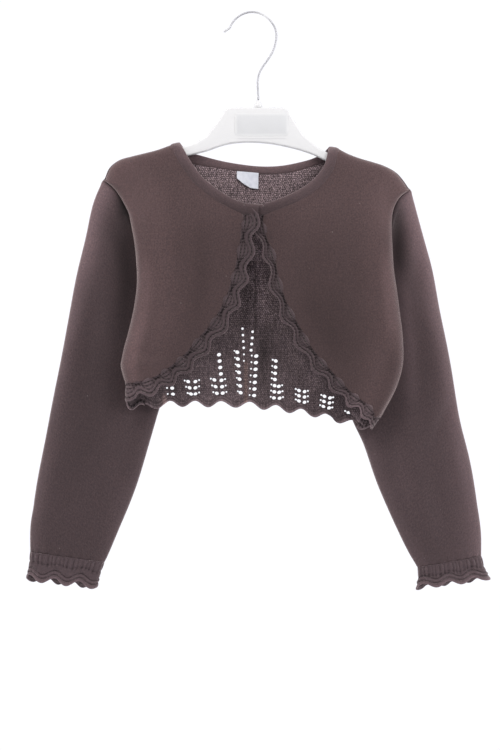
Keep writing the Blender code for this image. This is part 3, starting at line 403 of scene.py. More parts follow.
def along(line, shares):
    """Points of a line at the given shares of its length."""
    line = np.array(line, dtype=float)
    far = run_along(line[:, :3])
    want = np.asarray(shares) * far[-1]
    return np.stack([np.interp(want, far, column) for column in line.T], axis=1)


def smooth(table, shares):
    """Points on a smooth line through the rows of a table, at the given shares of its length."""
    rows = np.array(table, dtype=float)
    knot = run_along(rows[:, :2])
    return along(between(rows, knot, np.linspace(0, knot[-1], 40 * (len(rows) - 1) + 1)), shares)


def blurred(line, kernel):
    """A line's columns, each run through a kernel of an odd length."""
    half = len(kernel) // 2
    return np.stack([np.convolve(np.pad(column, half, mode="edge"), kernel, mode="valid")
                     for column in line.T], axis=1)


def unit(vectors):
    """Vectors brought to a length of 1."""
    return vectors / np.maximum(np.linalg.norm(vectors, axis=-1, keepdims=True), 1e-9)


def limit(x):
    return np.clip(x, 0, 1)


def ease(x):
    """A smooth step from 0 to 1."""
    x = limit(x)
    return x * x * (3 - 2 * x)


def above(value, start, span):
    """0 up to the start, then smoothly up to 1 at the span above it."""
    return ease((value - start) / span)


def below(value, start, span):
    """0 down to the start, then smoothly up to 1 at the span below it."""
    return ease((start - value) / span)


def groove(distance, half):
    """1 in the middle of a soft line, fading out over its half width."""
    return np.exp(-(distance / half) ** 2)


def spots(table, x, z):
    """Sum of soft spots, each row of the table being strength, x, half width, z, half height."""
    return sum(strength * groove(x - cx, wide) * groove(z - cz, tall)
               for strength, cx, wide, cz, tall in table)


def over_arm(drop):
    """How much of its turn over the hanger's arm the cloth has made, this far below the arm's top."""
    left = limit(1 - drop / SHOULDER_R)
    return np.sqrt(1 - left * left)


def hang_depth(drop, full):
    """How far a panel lies from the middle, this far below the arm's top; it settles at its full depth."""
    return SHOULDER_R * over_arm(drop) + (full - SHOULDER_R) * above(drop, 4, 90)


def overlap(side, x, z):
    """How far a front moves in depth near where the two overlap."""
    near = ease(1 - (np.abs(x - 2) - 14) / 34) * above(z, -262, 40)
    return side * OVERLAP_Y * near


def crease_field(creases, x, z, steps=24):
    """Sum of soft ridges and troughs, each fading out at its two ends."""
    total = np.zeros_like(x)
    for height, half, line in creases:
        best = np.full(x.shape, FAR)
        where = np.zeros(x.shape)
        for k, (px, pz) in enumerate(smooth(line, evenly(steps + 1))):
            gap = (x - px) ** 2 + (z - pz) ** 2
            where = np.where(gap < best, k / steps, where)
            best = np.minimum(gap, best)
        swell = 0.35 + 0.65 * np.sin(math.pi * where) ** 0.7
        total = total + height * swell * np.exp(-best / (half * half))
    return total


def ripple(x, z, seed, size):
    """A gentle unevenness, so that no surface is quite plain."""
    a = np.sin(x / size + 1.3 * seed) * np.cos(z / (size * 1.3) + 0.7 * seed)
    b = np.sin((x + 0.6 * z) / (size * 0.63) + 2.1 * seed)
    c = np.cos((0.8 * x - z) / (size * 0.81) + 0.4 * seed)
    return (a + 0.5 * b + 0.5 * c) / 2


def filled(top, low, left, right, u, v):
    """A row of the surface that fills four edges: u is a column of shares across, v the row's share down."""
    return ((1 - v) * top + v * low + (1 - u) * left + u * right
            - (1 - u) * (1 - v) * top[0] - u * (1 - v) * top[-1] - (1 - u) * v * low[0] - u * v * low[-1])


def front_sheet(side):
    """Middle surface of a front panel as rows of points, from its front edge round to its side seam."""
    fine = smooth(FRONT_EDGE[side], evenly(4001))
    corner = np.array(FRONT_EDGE[side][FRONT_CORNER])
    corner_share = np.argmin(np.linalg.norm(fine - corner, axis=1)) / 4000
    first = corner_share * evenly(NECK_ROWS + 1) ** 1.35
    shares = np.concatenate([first, np.linspace(corner_share, 1, FRONT_ROWS - NECK_ROWS + 1)[1:]])
    inner = smooth(FRONT_EDGE[side], shares)
    outer = smooth(SIDE[side], shares)
    top = smooth(SHOULDER[side], evenly(FACE_COLUMNS + 1))
    u = evenly(FACE_COLUMNS + 1)[:, None]
    low = (1 - u) * inner[-1] + u * outer[-1, :2]
    part = np.arange(1, BEHIND_COLUMNS + 1) / BEHIND_COLUMNS
    drop = np.zeros(FACE_COLUMNS + 1)
    before = None
    sheet = []
    for v, edge, fold in zip(shares, inner, outer):
        x_fold, z_fold, radius, angle, behind = fold
        line = filled(top, low, edge, fold[:2], u, v)
        if before is not None:
            drop = drop + np.linalg.norm(line - before, axis=1)
        before = line
        depth = -hang_depth(drop, -FRONT_Y) - SPLIT
        start_x = x_fold - side * radius
        face_x = line[:, 0] + (start_x - line[-1, 0]) * u[:, 0] ** 3
        face = np.stack([face_x, depth + overlap(side, face_x, line[:, 1]), line[:, 1]], axis=1)
        y_back = RETURN_Y * over_arm(drop[-1])
        middle = 0.5 * (depth[-1] + y_back)
        half = 0.5 * (y_back - depth[-1])
        a = math.radians(angle) * np.arange(1, TURN_COLUMNS + 1) / TURN_COLUMNS
        bend = np.stack([start_x + side * radius * np.sin(a), middle - half * np.cos(a),
                         np.full(TURN_COLUMNS, z_fold)], axis=1)
        reach = max(behind, 0.6) * part
        lean = (SEAM_Y - RETURN_Y) * min(1, behind / 12) * part
        left = math.radians(180 - angle)
        rest = np.stack([bend[-1, 0] - side * reach * math.cos(max(0, left)),
                         bend[-1, 1] + lean + reach * math.sin(left) * 0.5,
                         np.full(BEHIND_COLUMNS, z_fold)], axis=1)
        sheet.append(np.concatenate([face, bend, rest]))
    return np.array(sheet)


def seam_line(side):
    """The back panel's edge as x, z, depth: down the armhole, then down the side seam to below the hem."""
    arm = smooth(BACK_SIDE[side], evenly(60))
    sewn = panels[side][:, -1]
    seam = sewn[sewn[:, 2] < UNDERARM_Z[side] - 6][:, [0, 2, 1]] - [side * SIDE_GAP, 0, 0]
    low = seam[-1]
    foot = HEM_END[side]
    rest = [(low[0] + (foot[0] - low[0]) * t, low[1] + (foot[1] - low[1]) * t, low[2])
            for t in (0.5, 1, 1.5)]
    return np.concatenate([arm, seam, rest])


def at_height(line, z):
    """x and depth of a seam line at a height."""
    order = np.argsort(line[:, 1])
    return np.interp(z, line[order, 1], line[order, 0]), np.interp(z, line[order, 1], line[order, 2])


def hem_line(x):
    """Height of the hem without its scallops."""
    return np.interp(x, *np.array(HEM).T)


def hem_wave(x):
    """How far the scalloped hem swings from its line."""
    middles = np.array(HEM_PEAKS)
    k = np.clip(np.searchsorted(middles, x) - 1, 0, len(middles) - 2)
    t = (x - middles[k]) / (middles[k + 1] - middles[k])
    return HEM_SWING * np.cos(2 * math.pi * t)


def outward(grid, closed=False, ahead=0):
    """Unit normals of a grid of points, and whether its faces have to be turned over to look the same way.

    They point away from the middle of a closed tube. On an open sheet they point along Y, as `ahead` says.
    """
    du = np.roll(grid, -1, axis=1) - np.roll(grid, 1, axis=1) if closed else np.gradient(grid, axis=1)
    n = unit(np.cross(du, np.gradient(grid, axis=0)))
    if closed:
        away = ((grid - grid.mean(axis=1)[:, None, :]) * n).sum()
    else:
        away = ahead * n[..., 1].sum()
    return (-n, True) if away < 0 else (n, False)


# ---------------------------------------------------------------- meshes
def new_object(name, mesh, looks):
    for look in looks:
        mesh.materials.append(look)
    thing = bpy.data.objects.new(name, mesh)
    bpy.context.scene.collection.objects.link(thing)
    return thing


def worked(mesh, change):
    """Makes a change to a mesh by way of bmesh."""
    shape = bmesh.new()
    shape.from_mesh(mesh)
    change(shape)
    shape.to_mesh(mesh)
    shape.free()


def drop_loose(shape):
    bmesh.ops.delete(shape, geom=[v for v in shape.verts if not v.link_faces], context="VERTS")


def face_out(shape):
    bmesh.ops.recalc_face_normals(shape, faces=shape.faces[:])
    for face in shape.faces:
        face.smooth = len(face.verts) == 4


def skin(name, grid, looks, closed=False, flip=False, grain=None, layers=None, gone=None, thick=CLOTH):
    """A shell of cloth on a grid of points: the first look is its outside, the second its inside."""
    rows, cols = grid.shape[:2]
    corners = [[(j, i), (j, i + 1), (j + 1, i + 1), (j + 1, i)][::-1 if flip else 1]
               for j in range(rows - 1) for i in range(cols if closed else cols - 1)
               if gone is None or not gone[j, i]]
    mesh = bpy.data.meshes.new(name)
    mesh.from_pydata((grid.reshape(-1, 3) * MM).tolist(), [],
                     [[a * cols + b % cols for a, b in loop] for loop in corners])
    if grain is not None:
        flat = np.array([grain[a, b] for loop in corners for a, b in loop], dtype=np.float32)
        mesh.uv_layers.new(name="grain").data.foreach_set("uv", (flat * 0.01).ravel())
    for key, values in (layers or {}).items():
        spread = np.broadcast_to(np.asarray(values, dtype=np.float32), (rows, cols))
        mesh.attributes.new(key, "FLOAT", "POINT").data.foreach_set("value", spread.ravel())
    mesh.polygons.foreach_set("use_smooth", [True] * len(mesh.polygons))
    if gone is not None:
        worked(mesh, drop_loose)
    thing = new_object(name, mesh, looks)
    wall = thing.modifiers.new("wall", "SOLIDIFY")
    wall.thickness = thick * MM
    wall.offset = 0
    wall.material_offset = 1 if len(looks) > 1 else 0
    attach(thing, "root")
    return thing


def grain_of(grid, closed=False):
    """Distance across and down the cloth, in mm, for the knit's stitches."""
    wide = np.concatenate([grid, grid[:, :1]], axis=1) if closed else grid
    down = paced(wide, 0)
    return np.stack([paced(wide, 1), down.mean(axis=1)[:, None] * 0.5 + down * 0.5], axis=2)


def solid(name, rings, caps, look, gleam=None):
    """A closed solid on rings of points; the caps are the faces, by point number, that close its ends."""
    count = len(rings[0])
    points = [[float(c) * MM for c in p] for ring in rings for p in ring]
    faces = [(m + i, m + (i + 1) % count, m + count + (i + 1) % count, m + count + i)
             for m in range(0, (len(rings) - 1) * count, count) for i in range(count)]
    mesh = bpy.data.meshes.new(name)
    mesh.from_pydata(points, [], faces + caps)
    if gleam:
        mesh.attributes.new("gleam", "FLOAT", "POINT").data.foreach_set("value", gleam)
    worked(mesh, face_out)
    thing = new_object(name, mesh, (look,))
    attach(thing, "root")
    return thing


def round_caps(rings):
    """One face at each end of a round solid."""
    count = len(rings[0])
    last = (len(rings) - 1) * count
    return [tuple(range(count - 1, -1, -1)), tuple(range(last, last + count))]


# ---------------------------------------------------------------- materials
class Graph:
    """A short way to write shader nodes."""

    def __init__(self, name):
        self.material = bpy.data.materials.new(name)
        self.material.use_nodes = True
        self.tree = self.material.node_tree
        self.shader = self.tree.nodes["Principled BSDF"]

    def add(self, kind, **settings):
        node = self.tree.nodes.new(kind)
        for key, value in settings.items():
            setattr(node, key, value)
        return node

    def put(self, socket, value):
        if isinstance(value, bpy.types.NodeSocket):
            self.tree.links.new(value, socket)
        else:
            socket.default_value = value

    def surface(self, settings):
        for key, value in settings.items():
            self.put(self.shader.inputs[key], value)

    def math(self, operation, a, b=0):
        node = self.add("ShaderNodeMath", operation=operation)
        self.put(node.inputs[0], a)
        self.put(node.inputs[1], b)
        return node.outputs[0]

    def times(self, a, b):
        return self.math("MULTIPLY", a, b)

    def plus(self, a, b):
        return self.math("ADD", a, b)

    def off(self, a, b):
        """How far two values are apart."""
        return self.math("ABSOLUTE", self.math("SUBTRACT", a, b))

    def wave(self, value):
        """A sine that comes back to nought at every whole number."""
        return self.math("SINE", self.times(value, math.pi))

    def mix(self, share, a, b):
        node = self.add("ShaderNodeMix", data_type="RGBA")
        self.put(node.inputs[0], share)
        for index, colour in ((6, a), (7, b)):
            self.put(node.inputs[index], (*colour, 1) if isinstance(colour, tuple) else colour)
        return node.outputs[2]

    def scaled(self, vector, size):
        node = self.add("ShaderNodeVectorMath", operation="MULTIPLY")
        self.put(node.inputs[0], vector)
        node.inputs[1].default_value = size
        return node.outputs[0]

    def noise(self, vector, size, detail=2, rough=0.55):
        node = self.add("ShaderNodeTexNoise")
        self.put(node.inputs["Vector"], self.scaled(vector, size))
        for key, value in (("Scale", 1), ("Detail", detail), ("Roughness", rough)):
            node.inputs[key].default_value = value
        return node.outputs["Fac"]

    def place(self):
        return self.add("ShaderNodeTexCoord").outputs["Object"]

    def split(self, vector):
        node = self.add("ShaderNodeSeparateXYZ")
        self.put(node.inputs[0], vector)
        return node.outputs

    def attribute(self, name):
        return self.add("ShaderNodeAttribute", attribute_name=name).outputs["Fac"]

    def spread(self, value, low, high, to_low, to_high):
        node = self.add("ShaderNodeMapRange")
        for socket, number in zip(node.inputs, (value, low, high, to_low, to_high)):
            self.put(socket, number)
        return node.outputs[0]

    def varied(self, tone, noise, change):
        """A tone that a noise makes paler or darker by the given change."""
        return self.times(tone, self.spread(noise, 0.3, 0.7, 1 - change, 1 + change))

    def bump(self, height, strength, distance):
        node = self.add("ShaderNodeBump")
        for key, value in (("Strength", strength), ("Distance", distance), ("Height", height)):
            self.put(node.inputs[key], value)
        self.tree.links.new(node.outputs[0], self.shader.inputs["Normal"])


def face_stitches(g, across, down):
    """Columns of small V stitches."""
    off = g.times(g.off(g.math("FRACT", across), 0.5), 2)
    tread = g.math("FRACT", g.plus(down, g.times(off, 0.8)))
    return g.times(g.math("POWER", g.wave(off), 0.7), g.wave(tread))


def purl_stitches(g, grain, across, down):
    """Rows of small uneven bumps, each row half a bump along from the next."""
    sway = g.noise(grain, (46, 46, 7))
    across = g.plus(g.times(across, WALE / PURL_WALE), g.times(sway, 2.6))
    down = g.plus(g.times(down, COURSE / PURL_COURSE), g.times(sway, 1.9))
    shift = g.times(g.math("MODULO", g.math("FLOOR", down), 2), 0.5)
    a = g.math("ABSOLUTE", g.wave(g.plus(across, shift)))
    b = g.math("ABSOLUTE", g.wave(down))
    return g.times(g.math("POWER", a, 1.3), g.math("POWER", b, 1.1))


def knit(name, colours, inside=False, flecks=0.2, sheen=0.6, streaks=0.05):
    """Fine cotton knit; the cloth's attributes say where shade, a rim highlight, light and shade, and a warm
    highlight are painted into it, and where it is even.
    """
    g = Graph(name)
    grain = g.add("ShaderNodeUVMap", uv_map="grain").outputs[0]
    place = g.place()
    parts = g.split(grain)
    across = g.times(parts[0], 100 / WALE)
    down = g.times(parts[1], 100 / COURSE)
    down = g.plus(down, g.times(g.noise(grain, (60, 60, 1), 1), 1.2))
    fibre = g.noise(place, (1100, 1100, 1700), 2, 0.7)
    if inside:
        stitch = purl_stitches(g, grain, across, down)
        even = g.attribute("even")
        tone = g.varied(g.spread(stitch, 0, 1, 0.32, 2.5), g.noise(grain, (68, 52, 1), 2, 0.7), flecks)
        tone = g.plus(g.times(tone, g.math("SUBTRACT", 1, even)), g.times(even, PURL_MEAN))
    else:
        stitch = face_stitches(g, across, down)
        tone = g.varied(g.spread(stitch, 0, 1, 0.8, 1.16), g.noise(grain, (68, 52, 1), 2, 0.7), flecks)
    tone = g.varied(tone, g.noise(place, (34, 34, 26), 3), 0.03)
    tone = g.varied(tone, g.noise(grain, (62, 7, 1), 2, 0.6), streaks)
    tone = g.varied(tone, fibre, 0.08)
    # the cloth's attributes paint shade, a rim highlight, light and shade, and a warm highlight into its
    # colour
    dark = g.attribute("shade")
    tone = g.times(tone, g.spread(dark, 0, 1, 1, 0.22))
    tone = g.plus(tone, g.times(g.attribute("rim"), 0.5))
    tone = g.times(tone, g.plus(g.attribute("painted_shading_inside" if inside else "painted_shading"), 1))
    dust = g.spread(g.noise(place, (760, 760, 620), 1, 0.6), 0.35, 0.65, 0, 1)
    base = g.mix(g.times(g.attribute("painted_warm_highlight"), 0.35), g.mix(dust, *colours), WARM_BROWN)
    tint = g.add("ShaderNodeVectorMath", operation="SCALE")
    g.put(tint.inputs[0], base)
    g.put(tint.inputs["Scale"], tone)
    speck = g.add("ShaderNodeTexVoronoi", feature="F1")
    g.put(speck.inputs["Vector"], g.scaled(place, (52, 52, 52)))
    speck.inputs["Scale"].default_value = 1
    lint = g.spread(speck.outputs["Distance"], 0.018, 0.036, 0.35, 0)
    g.surface({"Base Color": g.mix(lint, tint.outputs[0], LINT), "Roughness": 0.94,
               "Specular IOR Level": 0.18, "Sheen Weight": g.spread(dark, 0, 1, sheen, 0.1 * sheen),
               "Sheen Roughness": 0.42, "Sheen Tint": (0.93, 0.8, 0.78, 1)})
    g.bump(g.plus(stitch, g.times(fibre, 0.5)), 0.75 if inside else 0.5, 0.0004)
    return g.material


face_knit = knit("cotton_knit_face", BROWN)
purl_knit = knit("cotton_knit_inside", PALE, inside=True, flecks=0.5, sheen=0.25, streaks=0.3)
sleeve_knit = knit("cotton_knit_sleeve", SLEEVE_BROWN)
trim_knit = knit("cotton_knit_trim", DEEP, flecks=0.14)
band_knit = knit("cotton_knit_band", BAND_BROWN, flecks=0.14)


# ---------------------------------------------------------------- fronts
def front(side, word):
    """A front panel with its creases, the dips at its seams and its painted light and shade."""
    sheet = panels[side]
    n, flip = outward(sheet, ahead=-1)
    x, z = sheet[..., 0], sheet[..., 2]
    edge_gap = paced(sheet, 1)
    down = paced(sheet, 0)
    to_side = edge_gap[:, -1:] - edge_gap
    past_fold = to_side - to_side[:, FACE_COLUMNS:FACE_COLUMNS + 1]
    behind = (np.arange(sheet.shape[1]) > FOLD_COLUMN)[None, :]
    at_neck = (np.arange(sheet.shape[0]) <= NECK_ROWS)[:, None]
    at_arm = above(z, UNDERARM_Z[side] + 2, 8)
    fade = ease(edge_gap / 14) * ease(to_side / 10) * ease(down / 26) * ease((down[-1:] - down) / 12)
    lift = crease_field(FRONT_CREASES[side], x, z) + 0.35 * ripple(x, z, 3 + side, 19)
    lift = lift * fade * np.where(behind, 0.3, 1)
    # the cloth dips a little beside the neckband and at the seams of the sleeve and the shoulder
    lift = lift - 0.15 * groove(edge_gap, 1.1) * at_neck
    lift = lift - 0.45 * groove(to_side, 1.2) * at_arm - 0.35 * groove(down, 1.2)
    shade = 0.08 * groove(edge_gap, 1) * at_neck + 0.7 * groove(to_side, 1) * at_arm
    # painted light along the side fold and the shoulder, painted shade low in the middle
    pale_band = 18 if side < 0 else 12
    painted_shading = 0.26 * groove(np.maximum(past_fold - pale_band, 0), 17) + 0.36 * groove(down, 15)
    if side < 0:
        low_side = below(z, -225, 40) + 0.9 * groove(z + 325, 30)
    else:
        low_side = below(z, -225, 40) * (1.3 * above(z, -352, 50) - 0.3)
    painted_shading = painted_shading + 0.5 * groove(past_fold, 7) * low_side + 0.22 * above(z, -245, 70)
    painted_shading = painted_shading + crease_field(FRONT_PAINTED_SHADING[side], x, z)
    # the inside is painted lighter where the right corner of the hem turns to the light
    piece = skin("front_" + word + "_knit", sheet + n * lift[:, :, None], (face_knit, purl_knit), flip=flip,
                 grain=np.stack([side * (edge_gap + side * sheet[:, :1, 0]), -z], axis=2),
                 layers={"shade": limit(shade), "painted_shading": painted_shading,
                         "painted_shading_inside": spots(CORNER_LIGHT, x, z)})
    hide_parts("front_" + word)
    return piece


panels = {side: front_sheet(side) for side, word in SIDES}
edges = {side: seam_line(side) for side, word in SIDES}
fronts = {word: front(side, word) for side, word in SIDES}


# ---------------------------------------------------------------- back
def back_flat():
    """The back laid flat as rows of x, z: wide rows down to the lace, then the fine rows of the eyelets."""
    bottom = np.linspace(HEM_END[-1][0], HEM_END[1][0], BACK_COLUMNS)
    low = []
    for r in range(LACE_ROWS, -1, -1):
        up = HOLE_STEP * r
        z = hem_line(bottom) + up + hem_wave(bottom) * (1 - ease(up / 9)) - 0.2 * (r == 0)
        shift = np.zeros(BACK_COLUMNS)
        for side, word in SIDES:
            move = at_height(edges[side], z)[0] - HEM_END[side][0]
            shift = np.where(np.sign(bottom) == side, move * (bottom / HEM_END[side][0]) ** 4, shift)
        low.append(np.stack([bottom + shift, z], axis=1))
    first = low[0]
    neck = smooth(BACK_NECK, evenly(BACK_COLUMNS - 2 * ARM_COLUMNS))
    top = np.concatenate([brow[:ARM_COLUMNS], neck, brow[ARM_COLUMNS + 2:]])
    near = np.linspace(0, 0.2, 22)[:-1]
    upper = np.concatenate([near ** 1.6 * 0.2 ** -0.6, np.linspace(0.2, 1, 40)[:-1]])
    sides = []
    for side, end in ((-1, first[0]), (1, first[-1])):
        stop = int(np.argmin(np.abs(edges[side][:, 1] - end[1])))
        sides.append(along(np.concatenate([edges[side][:stop, :2], [end]]), upper))
    u = ((bottom - bottom[0]) / (bottom[-1] - bottom[0]))[:, None]
    high = [filled(top, first, left, right, u, v) for left, right, v in zip(*sides, upper)]
    return np.array(high + low)


def eyelets():
    """Every eyelet as x, z, half width, half height and tilt."""
    for x0, z0, x1, z1, many, wide, tall, tilt, dx, dz, small in EYELETS:
        for k in range(many):
            t = k / max(many - 1, 1)
            cx, cz = x0 + (x1 - x0) * t, z0 + (z1 - z0) * t
            yield cx, cz, wide, tall, math.radians(tilt)
            if k < small:
                yield cx + dx, cz + dz, *SMALL_EYE, 0


def in_eyelet(p, cx, cz, wide, tall, tilt):
    """Where a point lies in an eyelet, whose rim is 1 from its middle: two coordinates and the distance."""
    dx = p[..., 0] - cx
    dz = p[..., 1] - cz
    a = (dx * math.cos(tilt) + dz * math.sin(tilt)) / wide
    b = (dz * math.cos(tilt) - dx * math.sin(tilt)) / tall
    return a, b, np.sqrt(a * a + b * b)


def cut_eyelets(flat):
    """Snaps the points round each eyelet to its rim; gives the cells to leave out and a mark at the rims."""
    middle = 0.25 * (flat[:-1, :-1] + flat[1:, :-1] + flat[:-1, 1:] + flat[1:, 1:])
    gone = np.zeros(middle.shape[:2], dtype=bool)
    moved = np.zeros(flat.shape[:2], dtype=bool)
    pit = np.zeros(flat.shape[:2])
    for eye in eyelets():
        cx, cz, wide, tall, tilt = eye
        far = in_eyelet(middle, *eye)[2]
        inside = far < max(1, far.min() + 1e-9)
        gone |= inside
        cells = sum(np.pad(inside.astype(int), ((a, 1 - a), (b, 1 - b))) for a in (0, 1) for b in (0, 1))
        rim = (cells > 0) & (cells < 4) & ~moved
        a, b, size = in_eyelet(flat[rim], *eye)
        a, b = a / size * wide, b / size * tall
        flat[rim] = np.stack([cx + a * math.cos(tilt) - b * math.sin(tilt),
                              cz + a * math.sin(tilt) + b * math.cos(tilt)], axis=1)
        moved |= rim
        off = np.clip(in_eyelet(flat, *eye)[2] - 1, 0, 9)
        pit = np.maximum(pit, np.exp(-off ** 2 / 0.12))
    return gone, pit


def hem_lines(over_hem, heights):
    """How far a place is in one of the lines that run along the hem at the given heights."""
    return sum(groove(over_hem - height, 0.8) for height in heights)


def back_lift(x, z, over_hem, fold, spine):
    """The back's relief: the fold and the spine behind the opening, and the lines along the hem."""
    lift = -FOLD_DEEP * fold - 0.7 * spine - groove(x + 88, 2.2) * below(z, -380, 5)
    return lift + 0.45 * hem_lines(over_hem, HEM_LINES) - 0.35 * hem_lines(over_hem, HEM_RIBS)


def back_painted_shading(x, z, over_hem, fold):
    """Painted light and shade on the inside of the back."""
    painted_shading = 0.85 * above(z, -235, 40) + crease_field(BACK_PAINTED_SHADING, x, z) - 0.25 * fold
    painted_shading = painted_shading + 0.55 * groove(over_hem, 3.8) + spots(BACK_SPOTS, x, z)
    return np.clip(painted_shading + spots(CORNER_LIGHT, x, z), -0.75, 3.4)


def back_shade(x, z, over_hem, pit):
    """How much darker the back is in the lines of its hem, round its eyelets and beside its fold."""
    shade = 0.55 * hem_lines(over_hem, HEM_LINES) + 0.35 * np.where(over_hem < 34, pit, 0.4 * pit)
    shade = shade + 0.5 * groove(x - 12.5, 6) * below(z, -322, 14) * above(z, -352, 14)
    shade = shade + 0.45 * groove(x - 3.8, 1.2) * below(z, -236, 20) * above(z, -330, 20)
    return limit(shade)


def back_piece():
    flat = back_flat()
    gone, pit = cut_eyelets(flat)
    x, z = flat[..., 0], flat[..., 1]
    drop = np.interp(x, *brow.T) - z
    y = SPLIT + hang_depth(drop, BACK_Y)
    side_gap = np.full(x.shape, FAR)
    for side, word in SIDES:
        edge_x, edge_y = at_height(edges[side], z)
        y = y + (edge_y - y) * ease(1 - np.abs(x - edge_x) / 26)
        side_gap = np.minimum(side_gap, np.abs(x - edge_x))
    sheet = np.stack([x, y, z], axis=2)
    n, flip = outward(sheet, ahead=1)
    over_hem = z - (hem_line(x) + hem_wave(x))
    # the soft fold of the back behind the opening comes forward, then steps back at its right edge
    fold = above(x, FOLD_X[0], 15) * below(x, FOLD_X[1], 1.6)
    fold = fold * below(z, FOLD_Z[0], 26) * above(z, FOLD_Z[1], 26)
    spine = groove(x - SPINE_X, 1.7) * above(z, SPINE_Z[1], 4) * below(z, SPINE_Z[0], 8)
    fade = ease(side_gap / 14) * ease(drop / 20) * ease(over_hem / 16)
    lift = back_lift(x, z, over_hem, fold, spine)
    lift = lift - (crease_field(BACK_CREASES, x, z) + 0.4 * ripple(x, z, 5, 21)) * fade
    even = np.clip(0.35 * below(z, -290, 40) + 0.5 * ease(1 - over_hem / 14), 0, 0.8)
    # painted warm highlight on the ridge up from the hem and on the tab at the hem's left
    painted_warm_highlight = spine + 0.7 * spots((HEM_TAB,), x, z)
    # painted shade in its lines and pits, painted light and shade on the inside, a painted rim highlight
    # along the hem
    piece = skin("back_knit", sheet + n * lift[:, :, None], (face_knit, purl_knit), flip=flip, gone=gone,
                 grain=np.stack([x, -z], axis=2),
                 layers={"shade": back_shade(x, z, over_hem, pit), "painted_warm_highlight": limit(painted_warm_highlight),
                         "painted_shading_inside": back_painted_shading(x, z, over_hem, fold), "even": even,
                         "rim": groove(over_hem, 0.9)})
    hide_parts("back")
    return piece


# the line of both shoulders, from the left tip to the right one
brow = np.concatenate([smooth(SHOULDER[-1], np.linspace(1, 0, ARM_COLUMNS + 1)),
                       smooth(SHOULDER[1], evenly(ARM_COLUMNS + 1))])
back = back_piece()


# ---------------------------------------------------------------- trims
def trim_out(side, line, run, past_fold):
    """Which way, in x and z, the trim hangs from each point of its line."""
    tangent = unit(np.gradient(line[:, [0, 2]], run, axis=0))
    out = np.stack([tangent[:, 1] * side, -tangent[:, 0] * side], axis=1)
    before, over = TRIM_TURN[side]
    blend = ease((past_fold + before) / over)[:, None]
    kernel = np.hanning(TRIM_BLUR + 2)[1:-1]
    return unit(blurred(out * (1 - blend) + np.array(TRIM_END[side]) * blend, kernel / kernel.sum()))


def trim_phase(side, path, far, run):
    """How far along its cells the trim is, as an angle that goes once round in each cell."""
    knots = [far[np.argmin((path[:, 0] - a) ** 2 + (path[:, 2] - b) ** 2)] for a, b in NODES[side]]
    pitch = max(knots[-1] - knots[-2], 20)
    knots = [knots[0] - 26] + knots + [knots[-1] + pitch * k for k in range(1, 8)]
    return 2 * math.pi * (np.interp(run, knots, np.arange(len(knots))) + 0.5)


def trim(side, word):
    """A wavy trim: lines of small holes part and meet along it, and its edge swings with them."""
    panel = panels[side]
    path = np.concatenate([panel[NECK_ROWS:, 0], panel[-1, 1:]])
    far = run_along(path)
    shares = evenly(TRIM_STEPS + 1)
    run = shares * far[-1]
    line = along(path, shares)
    past_fold = shares - far[len(panel) - NECK_ROWS + FOLD_COLUMN] / far[-1]
    out = trim_out(side, line, run, past_fold)
    phase = trim_phase(side, path, far, run)
    wide_open = 0.5 + 0.5 * np.cos(phase)
    size = np.interp(run, *np.array(TRIM_WIDTH[side]).T) + TRIM_SWING * np.cos(phase)
    small = np.minimum(size / 14, 1)
    # the cells lap over the panel's edge on the face, not round the side
    lap = 2.7 * ease(-past_fold * 9) * ease(shares * 20)
    lines_at = (small * 3 - 0.3 - (lap * 1.7 + 0.4) * wide_open, small * 3.2 - small * wide_open,
                small * 3.7 + 2.2 * small * wide_open,
                (small * 4.4) * (1 - wide_open) + (small * 5.9 + size - 3.3 * small) * 0.5 * wide_open,
                size - 3.3 * small)
    pairs = list(zip(lines_at[:-1], lines_at[1:]))
    part = np.arange(TRIM_ACROSS + 1)[:, None] / TRIM_ACROSS
    where = 0.02 - lap + part * (size + lap)
    cut = np.max([strength * groove(where - at, half) for at, (strength, half) in zip(lines_at, TRIM_LINES)],
                 axis=0)
    node = groove(where - lines_at[1], 1.3) * limit(-np.cos(phase)) ** 8
    puff = sum(groove(where - 0.5 * (a + b), 0.28 * np.maximum(b - a, 1)) for a, b in pairs)
    puff = 0.75 * puff * wide_open + 0.8 * groove(where - size + 1.5 * small, 1.3)
    # on the panel's side of its first line the trim sinks under the panel
    inside = above(where, lines_at[0] - 0.5, 0.9)
    lift = 0.45 * inside * below(where, 0.6, 0.8) + puff - 1.15 * cut - 0.35 * node
    lift = lift * (1 - 0.75 * groove(past_fold, 0.06)) - 1.1 * (1 - inside) * below(where, -0.1, 0.5)
    stitches = 0.72 + 0.4 * np.sin(run * 2 * math.pi / STITCH_RUN + 9 * part)
    ribs = sum(groove(where - 0.5 * (a + b), 0.9) for a, b in pairs)
    grid = np.stack([line[:, 0] + out[:, 0] * where, line[:, 1] - 0.6 * part ** 2,
                     line[:, 2] + out[:, 1] * where], axis=2)
    n, flip = outward(grid, ahead=-1)
    grid = grid + n * lift[:, :, None]
    x, z = grid[..., 0], grid[..., 2]
    # painted shade in its lines and where they meet, a painted rim highlight along its edge and ribs, and
    # spots of painted light
    piece = skin("trim_" + word + "_knit", grid, (trim_knit, purl_knit), flip=flip,
                 grain=grain_of(grid)[..., ::-1],
                 layers={"shade": np.clip(1.2 * stitches * cut + 0.4 * node, 0, 1.18),
                         "rim": groove(where - size, 1) + 0.3 * ribs * wide_open,
                         "painted_shading": spots(TRIM_SPOTS[side], x, z), "painted_shading_inside": spots(CORNER_LIGHT, x, z),
                         "even": 0.6})
    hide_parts("trim_" + word)
    return piece


trims = {word: trim(side, word) for side, word in SIDES}


